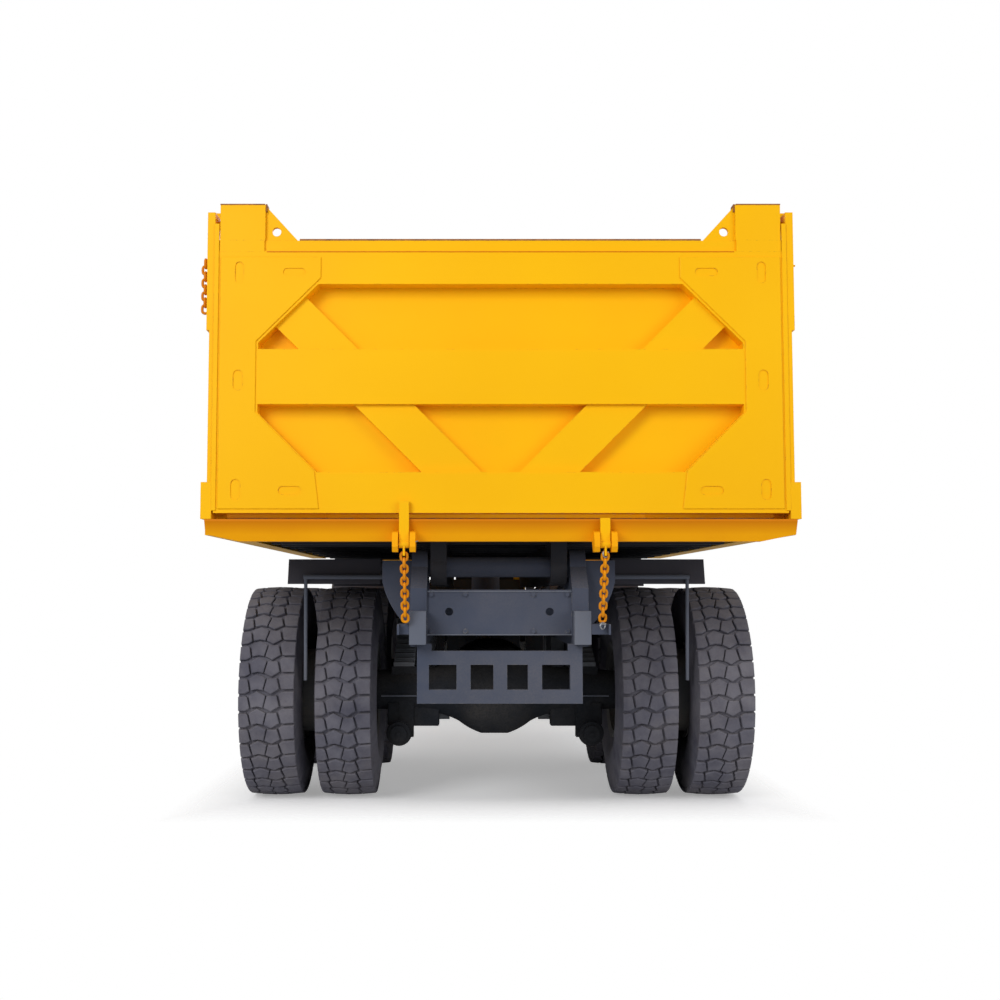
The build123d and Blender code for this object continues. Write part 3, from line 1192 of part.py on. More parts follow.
# Bed sides: plate, top and bottom rails, stakes and the gate's posts
with BuildPart() as bed_sides:
    for name, side in SIDES:
        y = (POST_REAR_Y, BED_FRONT_Y + 1)
        block(both(side, BED_WALL_X, BED_WALL_X + WALL_PLATE), y, (FLOOR_BOTTOM_Z, BED_TOP_Z))
        side_plate(
            both(side, BED_WALL_X, BED_WALL_X + WALL_PLATE),
            (
                (BED_FRONT_Y, FLOOR_BOTTOM_Z),
                (FRONT_WALL_Y, FRONT_WALL_KNEE_Z),
                (FRONT_WALL_Y, BED_TOP_Z),
                (BED_FRONT_Y, BED_TOP_Z),
            ),
        )
        rail_x = both(side, BED_WALL_X, SIDE_RAIL_X)
        block(rail_x, (POST_REAR_Y, BED_FRONT_Y), (SIDE_RAIL_BOTTOM_Z, SIDE_RAIL_TOP_Z))
        block(
            both(side, BED_HALF + RUNNING_GAP, SIDE_RAIL_X),
            (BEAM_FACE_Y, POST_REAR_Y + 1),
            (BEAM_TOP_Z + 1, SIDE_RAIL_TOP_Z),
        )
        block(
            both(side, BED_WALL_X, POST_OUTER_X),
            (POST_REAR_Y, FRONT_WALL_Y),
            (BED_TOP_Z - TOP_RAIL_HEIGHT, BED_TOP_Z),
        )
        stakes = int((FRONT_WALL_Y - POST_REAR_Y - 300) / STAKE_PITCH)
        for n in range(1, stakes + 1):
            y = POST_REAR_Y + 60 + n * STAKE_PITCH
            if y < BED_FRONT_Y - STAKE_WIDTH:
                block(
                    both(side, BED_WALL_X + 1, POST_OUTER_X - 10),
                    (y, y + STAKE_WIDTH),
                    (SIDE_RAIL_TOP_Z - 1, BED_TOP_Z - TOP_RAIL_HEIGHT + 1),
                )
        # Post with a pierced ear for the gate's pin
        block(
            both(side, BED_WALL_X, POST_OUTER_X),
            (POST_REAR_Y, POST_REAR_Y + POST_DEPTH),
            (BED_FLOOR_Z + 1, BED_TOP_Z - 60),
        )
        # Its outer strip runs back beside the gate, wider above the joint at POST_STEP_Z
        strip_y = (GATE_FACE_Y, POST_REAR_Y + 1)
        block(both(side, BED_HALF + RUNNING_GAP, POST_OUTER_X), strip_y, (POST_STEP_Z, POST_STRIP_TOP_Z))
        block(
            both(side, BED_HALF + RUNNING_GAP, POST_OUTER_X - POST_STEP),
            strip_y,
            (SIDE_RAIL_TOP_Z - 1, POST_STEP_Z + 1),
        )
        ear_x = both(side, BED_HALF + RUNNING_GAP, POST_OUTER_X)
        block(ear_x, (POST_REAR_Y, POST_REAR_Y + POST_DEPTH), (BED_TOP_Z - 61, GATE_EAR_TOP_Z - 45))
        block(
            ear_x,
            (POST_REAR_Y + 30, POST_REAR_Y + POST_DEPTH - 30),
            (GATE_EAR_TOP_Z - 46, GATE_EAR_TOP_Z),
        )
        # Pin through the ear into the gate's boss
        bar(
            (side * (GATE_EAR_OUTER_X - 90), GATE_PIVOT_Y, GATE_PIVOT_Z),
            (side * POST_OUTER_X, GATE_PIVOT_Y, GATE_PIVOT_Z),
            GATE_PIN_R,
        )
        # Side hook near the top rail
        bar(
            (side * (POST_OUTER_X - 5), POST_REAR_Y + 60, SIDE_HOOK_Z),
            (side * SIDE_HOOK_TIP_X, POST_REAR_Y + 60, SIDE_HOOK_Z),
            SIDE_HOOK_R,
        )
save(bed_sides, "bed_sides")

# Front wall, leaning forward to clear the hoist, and the canopy over the cab
with BuildPart() as bed_front_wall:
    side_plate(
        (-BED_WALL_X, BED_WALL_X),
        (
            (BED_FRONT_Y, FLOOR_BOTTOM_Z),
            (BED_FRONT_Y + WALL_PLATE, FLOOR_BOTTOM_Z),
            (FRONT_WALL_Y + WALL_PLATE, FRONT_WALL_KNEE_Z),
            (FRONT_WALL_Y + WALL_PLATE, BED_TOP_Z),
            (FRONT_WALL_Y, BED_TOP_Z),
            (FRONT_WALL_Y, FRONT_WALL_KNEE_Z),
        ),
    )
    canopy_z = FRONT_WALL_TOP_Z
    side_plate(
        (-BED_HALF, BED_HALF),
        (
            (FRONT_WALL_Y, BED_TOP_Z - 1),
            (FRONT_WALL_Y + WALL_PLATE, BED_TOP_Z - 1),
            (FRONT_WALL_Y + WALL_PLATE, canopy_z - 120),
            (FRONT_WALL_Y + 120, canopy_z - WALL_PLATE),
            (CANOPY_FRONT_Y - WALL_PLATE, canopy_z - WALL_PLATE),
            (CANOPY_FRONT_Y - WALL_PLATE, canopy_z - CANOPY_DROP),
            (CANOPY_FRONT_Y, canopy_z - CANOPY_DROP),
            (CANOPY_FRONT_Y, canopy_z),
            (FRONT_WALL_Y + 110, canopy_z),
            (FRONT_WALL_Y, canopy_z - 110),
        ),
    )
    for x in (-BED_HALF, -780, 780 - WALL_PLATE, BED_HALF - WALL_PLATE):
        side_plate(
            (x, x + WALL_PLATE),
            (
                (FRONT_WALL_Y + WALL_PLATE - 1, BED_TOP_Z + 20),
                (FRONT_WALL_Y + 420, canopy_z - 170),
                (CANOPY_FRONT_Y - WALL_PLATE, canopy_z - CANOPY_DROP),
                (CANOPY_FRONT_Y - WALL_PLATE, canopy_z - WALL_PLATE + 1),
                (FRONT_WALL_Y + 118, canopy_z - WALL_PLATE + 1),
                (FRONT_WALL_Y + WALL_PLATE - 1, canopy_z - 122),
            ),
        )
    # Stiffeners on the face and the two cheeks that hold the hoist's top pin
    for x in (-1330, -900, -420, 340, 820, 1250):
        side_plate(
            (x, x + 80),
            (
                (BED_FRONT_Y + 44, 2050),
                (BED_FRONT_Y + 74, 2050),
                (FRONT_WALL_Y + WALL_PLATE + 60, FRONT_WALL_KNEE_Z),
                (FRONT_WALL_Y + WALL_PLATE + 60, BED_TOP_Z),
                (FRONT_WALL_Y + WALL_PLATE - 1, BED_TOP_Z),
                (FRONT_WALL_Y + WALL_PLATE - 1, FRONT_WALL_KNEE_Z),
            ),
        )
    for name, side in SIDES:
        side_plate(
            both(side, CHEEK_X, CHEEK_OUT_X),
            (
                (FRONT_WALL_Y + WALL_PLATE - 1, HOIST_EYE_Z - 80),
                (HOIST_EYE_Y + 60, HOIST_EYE_Z - 80),
                (HOIST_EYE_Y + 90, HOIST_EYE_Z),
                (HOIST_EYE_Y + 60, HOIST_EYE_Z + 80),
                (FRONT_WALL_Y + WALL_PLATE - 1, HOIST_EYE_Z + 240),
            ),
        )
        bar(
            (side * (CHEEK_OUT_X - 1), HOIST_EYE_Y, HOIST_EYE_Z),
            (side * (CHEEK_OUT_X + 22), HOIST_EYE_Y, HOIST_EYE_Z),
            HOIST_PIN_R,
        )
save(bed_front_wall, "bed_front_wall")

# Telescopic hoist: an eyed barrel and three nested stages, the last with the rod's eye
eye_bore = HOIST_PIN_R + PIN_GAP
with BuildPart() as hoist_barrel:
    bar((0, HOIST_BASE_Y, BARREL_FOOT_Z), (0, HOIST_BASE_Y, BARREL_TOP_Z), BARREL_R)
    bar((0, HOIST_BASE_Y, HOIST_BASE_Z), (0, HOIST_BASE_Y, BARREL_FOOT_Z + 1), 64)
    bar(
        (-HOIST_EYE_HALF, HOIST_BASE_Y, HOIST_BASE_Z),
        (HOIST_EYE_HALF, HOIST_BASE_Y, HOIST_BASE_Z),
        HOIST_EYE_R,
    )
    bar(
        (-HOIST_EYE_HALF - 1, HOIST_BASE_Y, HOIST_BASE_Z),
        (HOIST_EYE_HALF + 1, HOIST_BASE_Y, HOIST_BASE_Z),
        eye_bore,
        Mode.SUBTRACT,
    )
    bar(
        (0, HOIST_BASE_Y, BARREL_FOOT_Z + 40),
        (0, HOIST_BASE_Y, BARREL_TOP_Z + 1),
        HOIST_STAGE_RADII[0] + STAGE_GAP,
        Mode.SUBTRACT,
    )
save(hoist_barrel, "hoist_barrel")

for n, radius in enumerate(HOIST_STAGE_RADII):
    foot = BARREL_FOOT_Z + 45 + n * 10
    top = BARREL_TOP_Z + (n + 1) * STAGE_SHOW
    with BuildPart() as stage:
        bar((0, HOIST_BASE_Y, foot), (0, HOIST_BASE_Y, top), radius)
        if n + 1 < len(HOIST_STAGE_RADII):
            bar(
                (0, HOIST_BASE_Y, foot + 5),
                (0, HOIST_BASE_Y, top + 1),
                HOIST_STAGE_RADII[n + 1] + STAGE_GAP,
                Mode.SUBTRACT,
            )
        else:
            bar((0, HOIST_EYE_Y, top - 1), (0, HOIST_EYE_Y, HOIST_EYE_Z), 52)
            bar(
                (-HOIST_EYE_HALF, HOIST_EYE_Y, HOIST_EYE_Z),
                (HOIST_EYE_HALF, HOIST_EYE_Y, HOIST_EYE_Z),
                HOIST_EYE_R,
            )
            bar(
                (-HOIST_EYE_HALF - 1, HOIST_EYE_Y, HOIST_EYE_Z),
                (HOIST_EYE_HALF + 1, HOIST_EYE_Y, HOIST_EYE_Z),
                eye_bore,
                Mode.SUBTRACT,
            )
    save(stage, f"hoist_stage_{n + 1}")

# Tailgate: a deep frame around two windows, its skin behind, V braces set back, and the hanger ears
gate_y = (GATE_FACE_Y, GATE_FACE_Y + GATE_DEPTH)
gate_plane = Plane.XZ.offset(-GATE_FACE_Y)
brace_at_mid = 1025
with BuildPart() as tailgate:
    block((-BED_HALF, BED_HALF), gate_y, (GATE_BOTTOM_Z, GATE_TOP_Z - GATE_LIP))
    lip_y = (GATE_FACE_Y + LIP_SETBACK, GATE_FACE_Y + GATE_DEPTH)
    block((-BED_HALF, BED_HALF), lip_y, (GATE_TOP_Z - GATE_LIP - 1, GATE_TOP_Z))
    with BuildSketch(gate_plane):
        with BuildLine():
            Polyline(
                (-WINDOW_HALF, BAR_MID_HIGH_Z),
                (-WINDOW_HALF, BAR_TOP_Z - WINDOW_CUT),
                (-WINDOW_HALF + WINDOW_CUT, BAR_TOP_Z),
                (WINDOW_HALF - WINDOW_CUT, BAR_TOP_Z),
                (WINDOW_HALF, BAR_TOP_Z - WINDOW_CUT),
                (WINDOW_HALF, BAR_MID_HIGH_Z),
                close=True,
            )
        make_face()
        with BuildLine():
            Polyline(
                (-WINDOW_HALF, BAR_MID_LOW_Z),
                (-WINDOW_HALF, BAR_BOTTOM_Z + WINDOW_CUT),
                (-WINDOW_HALF + WINDOW_CUT, BAR_BOTTOM_Z),
                (WINDOW_HALF - WINDOW_CUT, BAR_BOTTOM_Z),
                (WINDOW_HALF, BAR_BOTTOM_Z + WINDOW_CUT),
                (WINDOW_HALF, BAR_MID_LOW_Z),
                close=True,
            )
        make_face()
    extrude(amount=-(GATE_DEPTH - GATE_SKIN), mode=Mode.SUBTRACT)
    with BuildSketch(gate_plane.offset(-GATE_BRACE_RECESS)):
        half = BRACE_WIDTH / 2 * 2**0.5
        for side in (-1, 1):
            top_z = BAR_TOP_Z - 60
            low_z = BAR_BOTTOM_Z - 20
            top_x = brace_at_mid + (top_z - BAR_MID_HIGH_Z)
            low_x = brace_at_mid - (BAR_MID_HIGH_Z - low_z)
            with BuildLine():
                Polyline(
                    (side * (top_x - half), top_z),
                    (side * (top_x + half), top_z),
                    (side * (low_x + half), low_z),
                    (side * (low_x - half), low_z),
                    close=True,
                )
            make_face()
    extrude(amount=-(GATE_DEPTH - GATE_BRACE_RECESS - 1))
    for name, side in SIDES:
        block(
            both(side, GATE_EAR_INNER_X, GATE_EAR_OUTER_X),
            (GATE_FACE_Y, GATE_FACE_Y + GATE_DEPTH),
            (GATE_TOP_Z - 1, GATE_EAR_TOP_Z),
        )
        boss_x = (side * (GATE_EAR_OUTER_X - 90), side * GATE_EAR_OUTER_X)
        bar((boss_x[0], GATE_PIVOT_Y, GATE_PIVOT_Z), (boss_x[1], GATE_PIVOT_Y, GATE_PIVOT_Z), 60)
        bar(
            (boss_x[0] - side, GATE_PIVOT_Y, GATE_PIVOT_Z),
            (boss_x[1] + side, GATE_PIVOT_Y, GATE_PIVOT_Z),
            GATE_PIN_R + PIN_GAP,
            Mode.SUBTRACT,
        )
        with BuildSketch(gate_plane.offset(-20)):
            with BuildLine():
                Polyline(
                    (side * GATE_GUSSET_X, GATE_TOP_Z - 1),
                    (side * (GATE_EAR_INNER_X + 1), GATE_TOP_Z - 1),
                    (side * (GATE_EAR_INNER_X + 1), GATE_EAR_TOP_Z),
                    close=True,
                )
            make_face()
            with Locations((side * LIFT_HOLE_X, LIFT_HOLE_Z)):
                Circle(LIFT_HOLE_R, mode=Mode.SUBTRACT)
        extrude(amount=-25)
save(tailgate, "tailgate")

# Tailgate hooks: a flat finger behind the gate, a boss on the ears' pin and a tail with the chain's eye
tail_eye_z = HOOK_PIVOT_Z - TAIL_EYE_DROP
chain_top = (
    HOOK_PIVOT_Y + LINK_WIRE / 2 * sin(radians(CHAIN_LEAN)),
    tail_eye_z - LINK_WIRE / 2 * cos(radians(CHAIN_LEAN)),
)
for name, side in SIDES:
    x = (HOOK_X[name] - HOOK_WIDTH / 2, HOOK_X[name] + HOOK_WIDTH / 2)
    with BuildPart() as hook:
        block(
            x,
            (HOOK_PIVOT_Y - HOOK_THICK / 2, HOOK_PIVOT_Y + HOOK_THICK / 2),
            (HOOK_PIVOT_Z, HOOK_TOP_Z[name]),
        )
        bar((x[0], HOOK_PIVOT_Y, HOOK_PIVOT_Z), (x[1], HOOK_PIVOT_Y, HOOK_PIVOT_Z), HOOK_BOSS_R)
        tail_x = (HOOK_X[name] - 6, HOOK_X[name] + 6)
        block(tail_x, (HOOK_PIVOT_Y - 20, HOOK_PIVOT_Y + 20), (tail_eye_z - 20, HOOK_PIVOT_Z))
        bar(
            (tail_x[0] - 1, HOOK_PIVOT_Y, tail_eye_z),
            (tail_x[1] + 1, HOOK_PIVOT_Y, tail_eye_z),
            TAIL_EYE_R,
            Mode.SUBTRACT,
        )
        bar(
            (x[0] - 1, HOOK_PIVOT_Y, HOOK_PIVOT_Z),
            (x[1] + 1, HOOK_PIVOT_Y, HOOK_PIVOT_Z),
            HOOK_PIN_R + PIN_GAP,
            Mode.SUBTRACT,
        )
    save(hook, f"{name}_tailgate_hook")


def links(count, top, lean, first_across):
    """A strand of flat-sided chain links hung from a point, leaning forward by an angle."""
    for n in range(count):
        drop = LINK_LENGTH / 2 - LINK_WIRE + n * LINK_PITCH
        centre = (top[0], top[1] + drop * sin(radians(lean)), top[2] - drop * cos(radians(lean)))
        down = (0, sin(radians(lean)), -cos(radians(lean)))
        across = (1, 0, 0) if (n % 2 == 0) == first_across else (0, cos(radians(lean)), sin(radians(lean)))
        face = Plane(origin=centre, x_dir=down, z_dir=Vector(*down).cross(Vector(*across)))
        with BuildSketch(face.offset(-LINK_WIRE / 2)) as link:
            Rectangle(LINK_LENGTH, LINK_WIDTH)
            chamfer(link.vertices(), LINK_WIDTH / 4)
            Rectangle(LINK_LENGTH - 2 * LINK_WIRE, LINK_WIDTH - 2 * LINK_WIRE, mode=Mode.SUBTRACT)
        extrude(link.sketch, amount=LINK_WIRE)


for name, side in SIDES:
    with BuildPart() as chain:
        links(CHAIN_LINKS, (HOOK_X[name], *chain_top), CHAIN_LEAN, True)
    save(chain, f"{name}_tailgate_chain")

with BuildPart() as side_chain:
    links(
        SIDE_CHAIN_LINKS,
        (-(POST_OUTER_X + 31), POST_REAR_Y + 60, SIDE_HOOK_Z + SIDE_HOOK_R + 1),
        0,
        False,
    )
save(side_chain, "side_chain")
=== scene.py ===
from math import cos, pi, radians, sin

import bpy
from mathutils import Matrix, Vector


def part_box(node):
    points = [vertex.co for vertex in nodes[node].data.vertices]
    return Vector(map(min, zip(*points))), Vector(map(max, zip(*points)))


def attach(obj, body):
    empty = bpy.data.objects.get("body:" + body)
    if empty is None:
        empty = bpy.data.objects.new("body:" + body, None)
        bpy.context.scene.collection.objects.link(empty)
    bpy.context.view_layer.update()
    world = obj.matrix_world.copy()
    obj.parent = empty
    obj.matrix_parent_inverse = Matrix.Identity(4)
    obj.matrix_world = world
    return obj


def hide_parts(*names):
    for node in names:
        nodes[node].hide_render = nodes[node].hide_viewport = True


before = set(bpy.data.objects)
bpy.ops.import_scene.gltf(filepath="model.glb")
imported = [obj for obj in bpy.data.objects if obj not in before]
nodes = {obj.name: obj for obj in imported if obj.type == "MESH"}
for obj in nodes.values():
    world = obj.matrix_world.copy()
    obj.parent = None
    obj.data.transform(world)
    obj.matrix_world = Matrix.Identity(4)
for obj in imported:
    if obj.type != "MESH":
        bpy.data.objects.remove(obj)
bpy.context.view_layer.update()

# Chassis: two welded box rails with cross members and the tail brackets that carry the bed's hinge.
# Mild steel plate, sprayed dark blue-grey, dusty on its upper faces and along the lower edges.


def new_group(name, inputs, outputs):
    """A shader node group with plain float or colour sockets."""
    group = bpy.data.node_groups.new(name, "ShaderNodeTree")
    for socket, kind, value in inputs:
        made = group.interface.new_socket(socket, in_out="INPUT", socket_type=kind)
        made.default_value = value
    for socket, kind in outputs:
        group.interface.new_socket(socket, in_out="OUTPUT", socket_type=kind)
    return group, group.nodes.new("NodeGroupInput"), group.nodes.new("NodeGroupOutput")


def noise(tree, coordinates, scale, detail=4, roughness=0.55):
    node = tree.nodes.new("ShaderNodeTexNoise")
    node.inputs["Scale"].default_value = scale
    node.inputs["Detail"].default_value = detail
    node.inputs["Roughness"].default_value = roughness
    tree.links.new(coordinates, node.inputs["Vector"])
    return node.outputs["Fac"]


def spread(tree, value, low_in, high_in, low_out=0.0, high_out=1.0):
    """Stretches a value from one range to another, clamped at both ends."""
    node = tree.nodes.new("ShaderNodeMapRange")
    node.inputs["From Min"].default_value = low_in
    node.inputs["From Max"].default_value = high_in
    node.inputs["To Min"].default_value = low_out
    node.inputs["To Max"].default_value = high_out
    tree.links.new(value, node.inputs["Value"])
    return node.outputs["Result"]


def combine(tree, operation, first, second):
    """Two values combined and clamped between 0 and 1. The second may be a plain number."""
    node = tree.nodes.new("ShaderNodeMath")
    node.operation = operation
    node.use_clamp = True
    tree.links.new(first, node.inputs[0])
    if isinstance(second, (int, float)):
        node.inputs[1].default_value = second
    else:
        tree.links.new(second, node.inputs[1])
    return node.outputs["Value"]


def object_coordinates(tree):
    return tree.nodes.new("ShaderNodeTexCoord").outputs["Object"]


def surface_normal(tree):
    return tree.nodes.new("ShaderNodeNewGeometry").outputs["Normal"]


def along_axis(tree, vector, axis):
    """The X, Y or Z of a place or a normal."""
    parts = tree.nodes.new("ShaderNodeSeparateXYZ")
    tree.links.new(vector, parts.inputs["Vector"])
    return parts.outputs[axis]


def facing_up(tree):
    """0 on walls and undersides, 1 on flat tops."""
    return spread(tree, along_axis(tree, surface_normal(tree), "Z"), 0.3, 0.95)


def edge_nearness(tree, radius):
    """1 on sharp edges, 0 on flats, read from how far a rounded normal leans from the true one."""
    bevel = tree.nodes.new("ShaderNodeBevel")
    bevel.samples = 4
    bevel.inputs["Radius"].default_value = radius
    lean = tree.nodes.new("ShaderNodeVectorMath")
    lean.operation = "DOT_PRODUCT"
    tree.links.new(bevel.outputs["Normal"], lean.inputs[0])
    tree.links.new(surface_normal(tree), lean.inputs[1])
    return spread(tree, lean.outputs["Value"], 0.995, 0.80)


# Site dust settles on tops, in broken patches on walls and more thickly near the ground
dust_group, dust_in, dust_out = new_group(
    "site_dust",
    [("Amount", "NodeSocketFloat", 0.5)],
    [("Mask", "NodeSocketFloat"), ("Mottle", "NodeSocketFloat")],
)
place = object_coordinates(dust_group)
patches = spread(dust_group, noise(dust_group, place, 2.2, 8, 0.62), 0.42, 0.72)
grains = spread(dust_group, noise(dust_group, place, 85, 3, 0.7), 0.35, 0.75)
near_ground = spread(dust_group, along_axis(dust_group, place, "Z"), 1.9, 0.3)
tops = combine(dust_group, "MULTIPLY", facing_up(dust_group), 0.8)
broken = combine(dust_group, "MULTIPLY", patches, combine(dust_group, "ADD", near_ground, 0.12))
both_kinds = combine(dust_group, "ADD", tops, broken)
grained = combine(dust_group, "MULTIPLY", both_kinds, combine(dust_group, "ADD", grains, 0.45))
settled = combine(dust_group, "MULTIPLY", grained, dust_in.outputs["Amount"])
dust_group.links.new(settled, dust_out.inputs["Mask"])
dust_group.links.new(noise(dust_group, place, 0.9, 5, 0.5), dust_out.inputs["Mottle"])

# Chipped edges: paint knocked through to primer and steel where plates meet the air
chip_group, _, chip_out = new_group("chipped_edges", [], [("Mask", "NodeSocketFloat")])
chips = spread(chip_group, noise(chip_group, object_coordinates(chip_group), 26, 6, 0.75), 0.5, 0.62)
edge = edge_nearness(chip_group, 0.006)
chip_group.links.new(combine(chip_group, "MULTIPLY", chips, edge), chip_out.inputs["Mask"])


def group_node(tree, group, **values):
    node = tree.nodes.new("ShaderNodeGroup")
    node.node_tree = group
    for name, value in values.items():
        node.inputs[name].default_value = value
    return node


def mix_colour(tree, factor, first, second):
    """Two colours mixed, each one a plain colour or the colour of another node."""
    node = tree.nodes.new("ShaderNodeMix")
    node.data_type = "RGBA"
    tree.links.new(factor, node.inputs["Factor"])
    for socket, value in ((node.inputs["A"], first), (node.inputs["B"], second)):
        if isinstance(value, tuple):
            socket.default_value = (*value, 1)
        else:
            tree.links.new(value, socket)
    return node.outputs["Result"]


def new_material(name):
    material = bpy.data.materials.new(name)
    material.use_nodes = True
    tree = material.node_tree
    return material, tree, tree.nodes["Principled BSDF"]


def bump(tree, shader, height_value, distance, strength=0.5):
    node = tree.nodes.new("ShaderNodeBump")
    node.inputs["Distance"].default_value = distance
    node.inputs["Strength"].default_value = strength
    tree.links.new(height_value, node.inputs["Height"])
    tree.links.new(node.outputs["Normal"], shader.inputs["Normal"])


def orange_peel(tree, shader):
    """The faint waves that a spray gun leaves in paint."""
    bump(tree, shader, noise(tree, object_coordinates(tree), 240, 2), 0.0006, 0.35)


DUST_COLOUR = (0.34, 0.29, 0.235)


def mottled(tree, site, colour, shade):
    """Slow changes between two shades of one paint."""
    return mix_colour(tree, spread(tree, site.outputs["Mottle"], 0.35, 0.65), colour, shade)


def dusted(tree, site, tone, dust_colour=DUST_COLOUR):
    return mix_colour(tree, site.outputs["Mask"], tone, dust_colour)


def sprayed_paint(name, colour, shade, dust, roughness, chipped, under=(0.10, 0.085, 0.075)):
    """Sprayed machine paint: slow shade changes, orange peel, dust, and chips down to what lies under."""
    material, tree, shader = new_material(name)
    shader.inputs["Specular IOR Level"].default_value = 0.10
    site = group_node(tree, dust_group, Amount=dust)
    tone = mottled(tree, site, colour, shade)
    if chipped:
        tone = mix_colour(tree, group_node(tree, chip_group).outputs["Mask"], tone, under)
    tree.links.new(dusted(tree, site, tone), shader.inputs["Base Color"])
    rough = spread(tree, site.outputs["Mask"], 0.0, 0.8, roughness, 0.92)
    tree.links.new(rough, shader.inputs["Roughness"])
    orange_peel(tree, shader)
    return material


def dress(piece, material):
    """Gives a piece one material alone."""
    piece.data.materials.clear()
    piece.data.materials.append(material)


def finish_node(material, *names):
    for name in names:
        dress(nodes[name], material)


frame_paint = sprayed_paint(
    "chassis_blue_grey", (0.055, 0.066, 0.100), (0.075, 0.087, 0.126), 0.22, 0.5, True, (0.20, 0.195, 0.19)
)
finish_node(frame_paint, "chassis_rails", "cross_frame", "chassis_tail", "underrun_guard")

# Tail blocks: thick plates that close the rails at the tail, with the channel between them.
# Steel in a lighter grey, sprayed after the frame. The channel's edges are folded out to the rear.
TAIL_BLOCK_ACROSS = (0.4472, 0.5488)
TAIL_BLOCK_ALONG = (-4.3815, -4.29)
TAIL_BLOCK_UP = (1.139, 1.341)
CHANNEL_HALF = 0.446
CHANNEL_EDGE_ALONG = (-4.206, -4.1995)
CHANNEL_EDGES_Z = (1.190, 1.456)
CHANNEL_EDGE_THICK = 0.008
MIRRORED = (-1, 1)


def pick(*pieces):
    """Selects these pieces alone and makes the first one active."""
    bpy.ops.object.select_all(action="DESELECT")
    for piece in pieces:
        piece.select_set(True)
    bpy.context.view_layer.objects.active = pieces[0]


def apply_place(piece):
    """Moves a piece's place into its mesh, so that its object sits at the origin."""
    pick(piece)
    bpy.ops.object.transform_apply(location=True, rotation=True, scale=True)


def new_piece(name, material, body):
    """Names the piece just made, gives it its material and lets it ride on a body of the truck."""
    piece = bpy.context.object
    piece.name = name
    dress(piece, material)
    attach(piece, body)


def joined(pieces):
    pick(*pieces)
    bpy.ops.object.join()
    return bpy.context.object


def plate(low_corner, high_corner, dressed=0.0015):
    """A box between two corners with dressed edges, its object at the origin."""
    low_corner, high_corner = Vector(low_corner), Vector(high_corner)
    bpy.ops.object.select_all(action="DESELECT")
    bpy.ops.mesh.primitive_cube_add(
        size=1, location=(low_corner + high_corner) / 2, scale=high_corner - low_corner
    )
    apply_place(bpy.context.object)
    if dressed:
        bpy.ops.object.mode_set(mode="EDIT")
        bpy.ops.mesh.select_all(action="SELECT")
        bpy.ops.mesh.bevel(offset=dressed, segments=2, affect="EDGES")
        bpy.ops.object.mode_set(mode="OBJECT")
    return bpy.context.object


def side_plate(sign, across, along, up, dressed=0.0015):
    """A plate on the left (-1) or right (1) of the truck, between distances across, along and up."""
    near, far = sorted((sign * across[0], sign * across[1]))
    return plate((near, along[0], up[0]), (far, along[1], up[1]), dressed)


block_paint = sprayed_paint("tail_block_grey", (0.115, 0.130, 0.170), (0.14, 0.155, 0.195), 0.2, 0.5, True)
joined([side_plate(sign, TAIL_BLOCK_ACROSS, TAIL_BLOCK_ALONG, TAIL_BLOCK_UP) for sign in MIRRORED])
new_piece("tail_block_skins", block_paint, "chassis")
edges = []
for z in CHANNEL_EDGES_Z:
    foot = (-CHANNEL_HALF, CHANNEL_EDGE_ALONG[0], z)
    edges.append(plate(foot, (CHANNEL_HALF, CHANNEL_EDGE_ALONG[1], z + CHANNEL_EDGE_THICK), 0.001))
joined(edges)
new_piece("end_channel_edges", block_paint, "chassis")

# End channel bolts: eight hexagon heads on washers that hold the channel's stiffener and the guard.
# Steel, screwed in before the frame was sprayed, so they carry the frame's paint.
CHANNEL_FACE_Y = -4.2
CHANNEL_BOLTS_X = (-0.42, -0.21, 0.21, 0.42)
CHANNEL_BOLTS_Z = (1.215, 1.44)


def rod(start, end, radius, sides=16):
    """A round rod between two points, its object at the origin."""
    line = Vector(end) - Vector(start)
    bpy.ops.object.select_all(action="DESELECT")
    bpy.ops.mesh.primitive_cylinder_add(
        vertices=sides,
        radius=radius,
        depth=line.length,
        location=(Vector(start) + Vector(end)) / 2,
        rotation=line.to_track_quat("Z", "Y").to_euler(),
    )
    apply_place(bpy.context.object)
    bpy.ops.object.shade_smooth_by_angle(angle=radians(35))
    return bpy.context.object


bolts = []
for x in CHANNEL_BOLTS_X:
    for z in CHANNEL_BOLTS_Z:
        seat = (x, CHANNEL_FACE_Y + 0.001, z)
        bolts.append(rod((x, CHANNEL_FACE_Y - 0.014, z), seat, 0.013, 6))
        bolts.append(rod((x, CHANNEL_FACE_Y - 0.003, z), seat, 0.019, 16))
joined(bolts)
new_piece("end_channel_bolts", frame_paint, "chassis")

# Axles, knuckles, engine and shafts: castings and forgings under a dark coat, caked with road dirt.
# The cast skin is coarser than the plate of the rails.
cast_material, tree, shader = new_material("cast_axle_iron")
site = group_node(tree, dust_group, Amount=0.12)
cast_skin = noise(tree, object_coordinates(tree), 60, 6, 0.7)
tone = mix_colour(tree, spread(tree, cast_skin, 0.3, 0.7), (0.012, 0.014, 0.018), (0.024, 0.027, 0.034))
tree.links.new(dusted(tree, site, tone), shader.inputs["Base Color"])
shader.inputs["Specular IOR Level"].default_value = 0.12
tree.links.new(spread(tree, cast_skin, 0.3, 0.7, 0.6, 0.8), shader.inputs["Roughness"])
bump(tree, shader, cast_skin, 0.0015, 0.6)
finish_node(cast_material, "drive_axles", "engine_block", "drive_line", "front_axle")
finish_node(cast_material, "left_knuckle", "right_knuckle", "tie_rod")

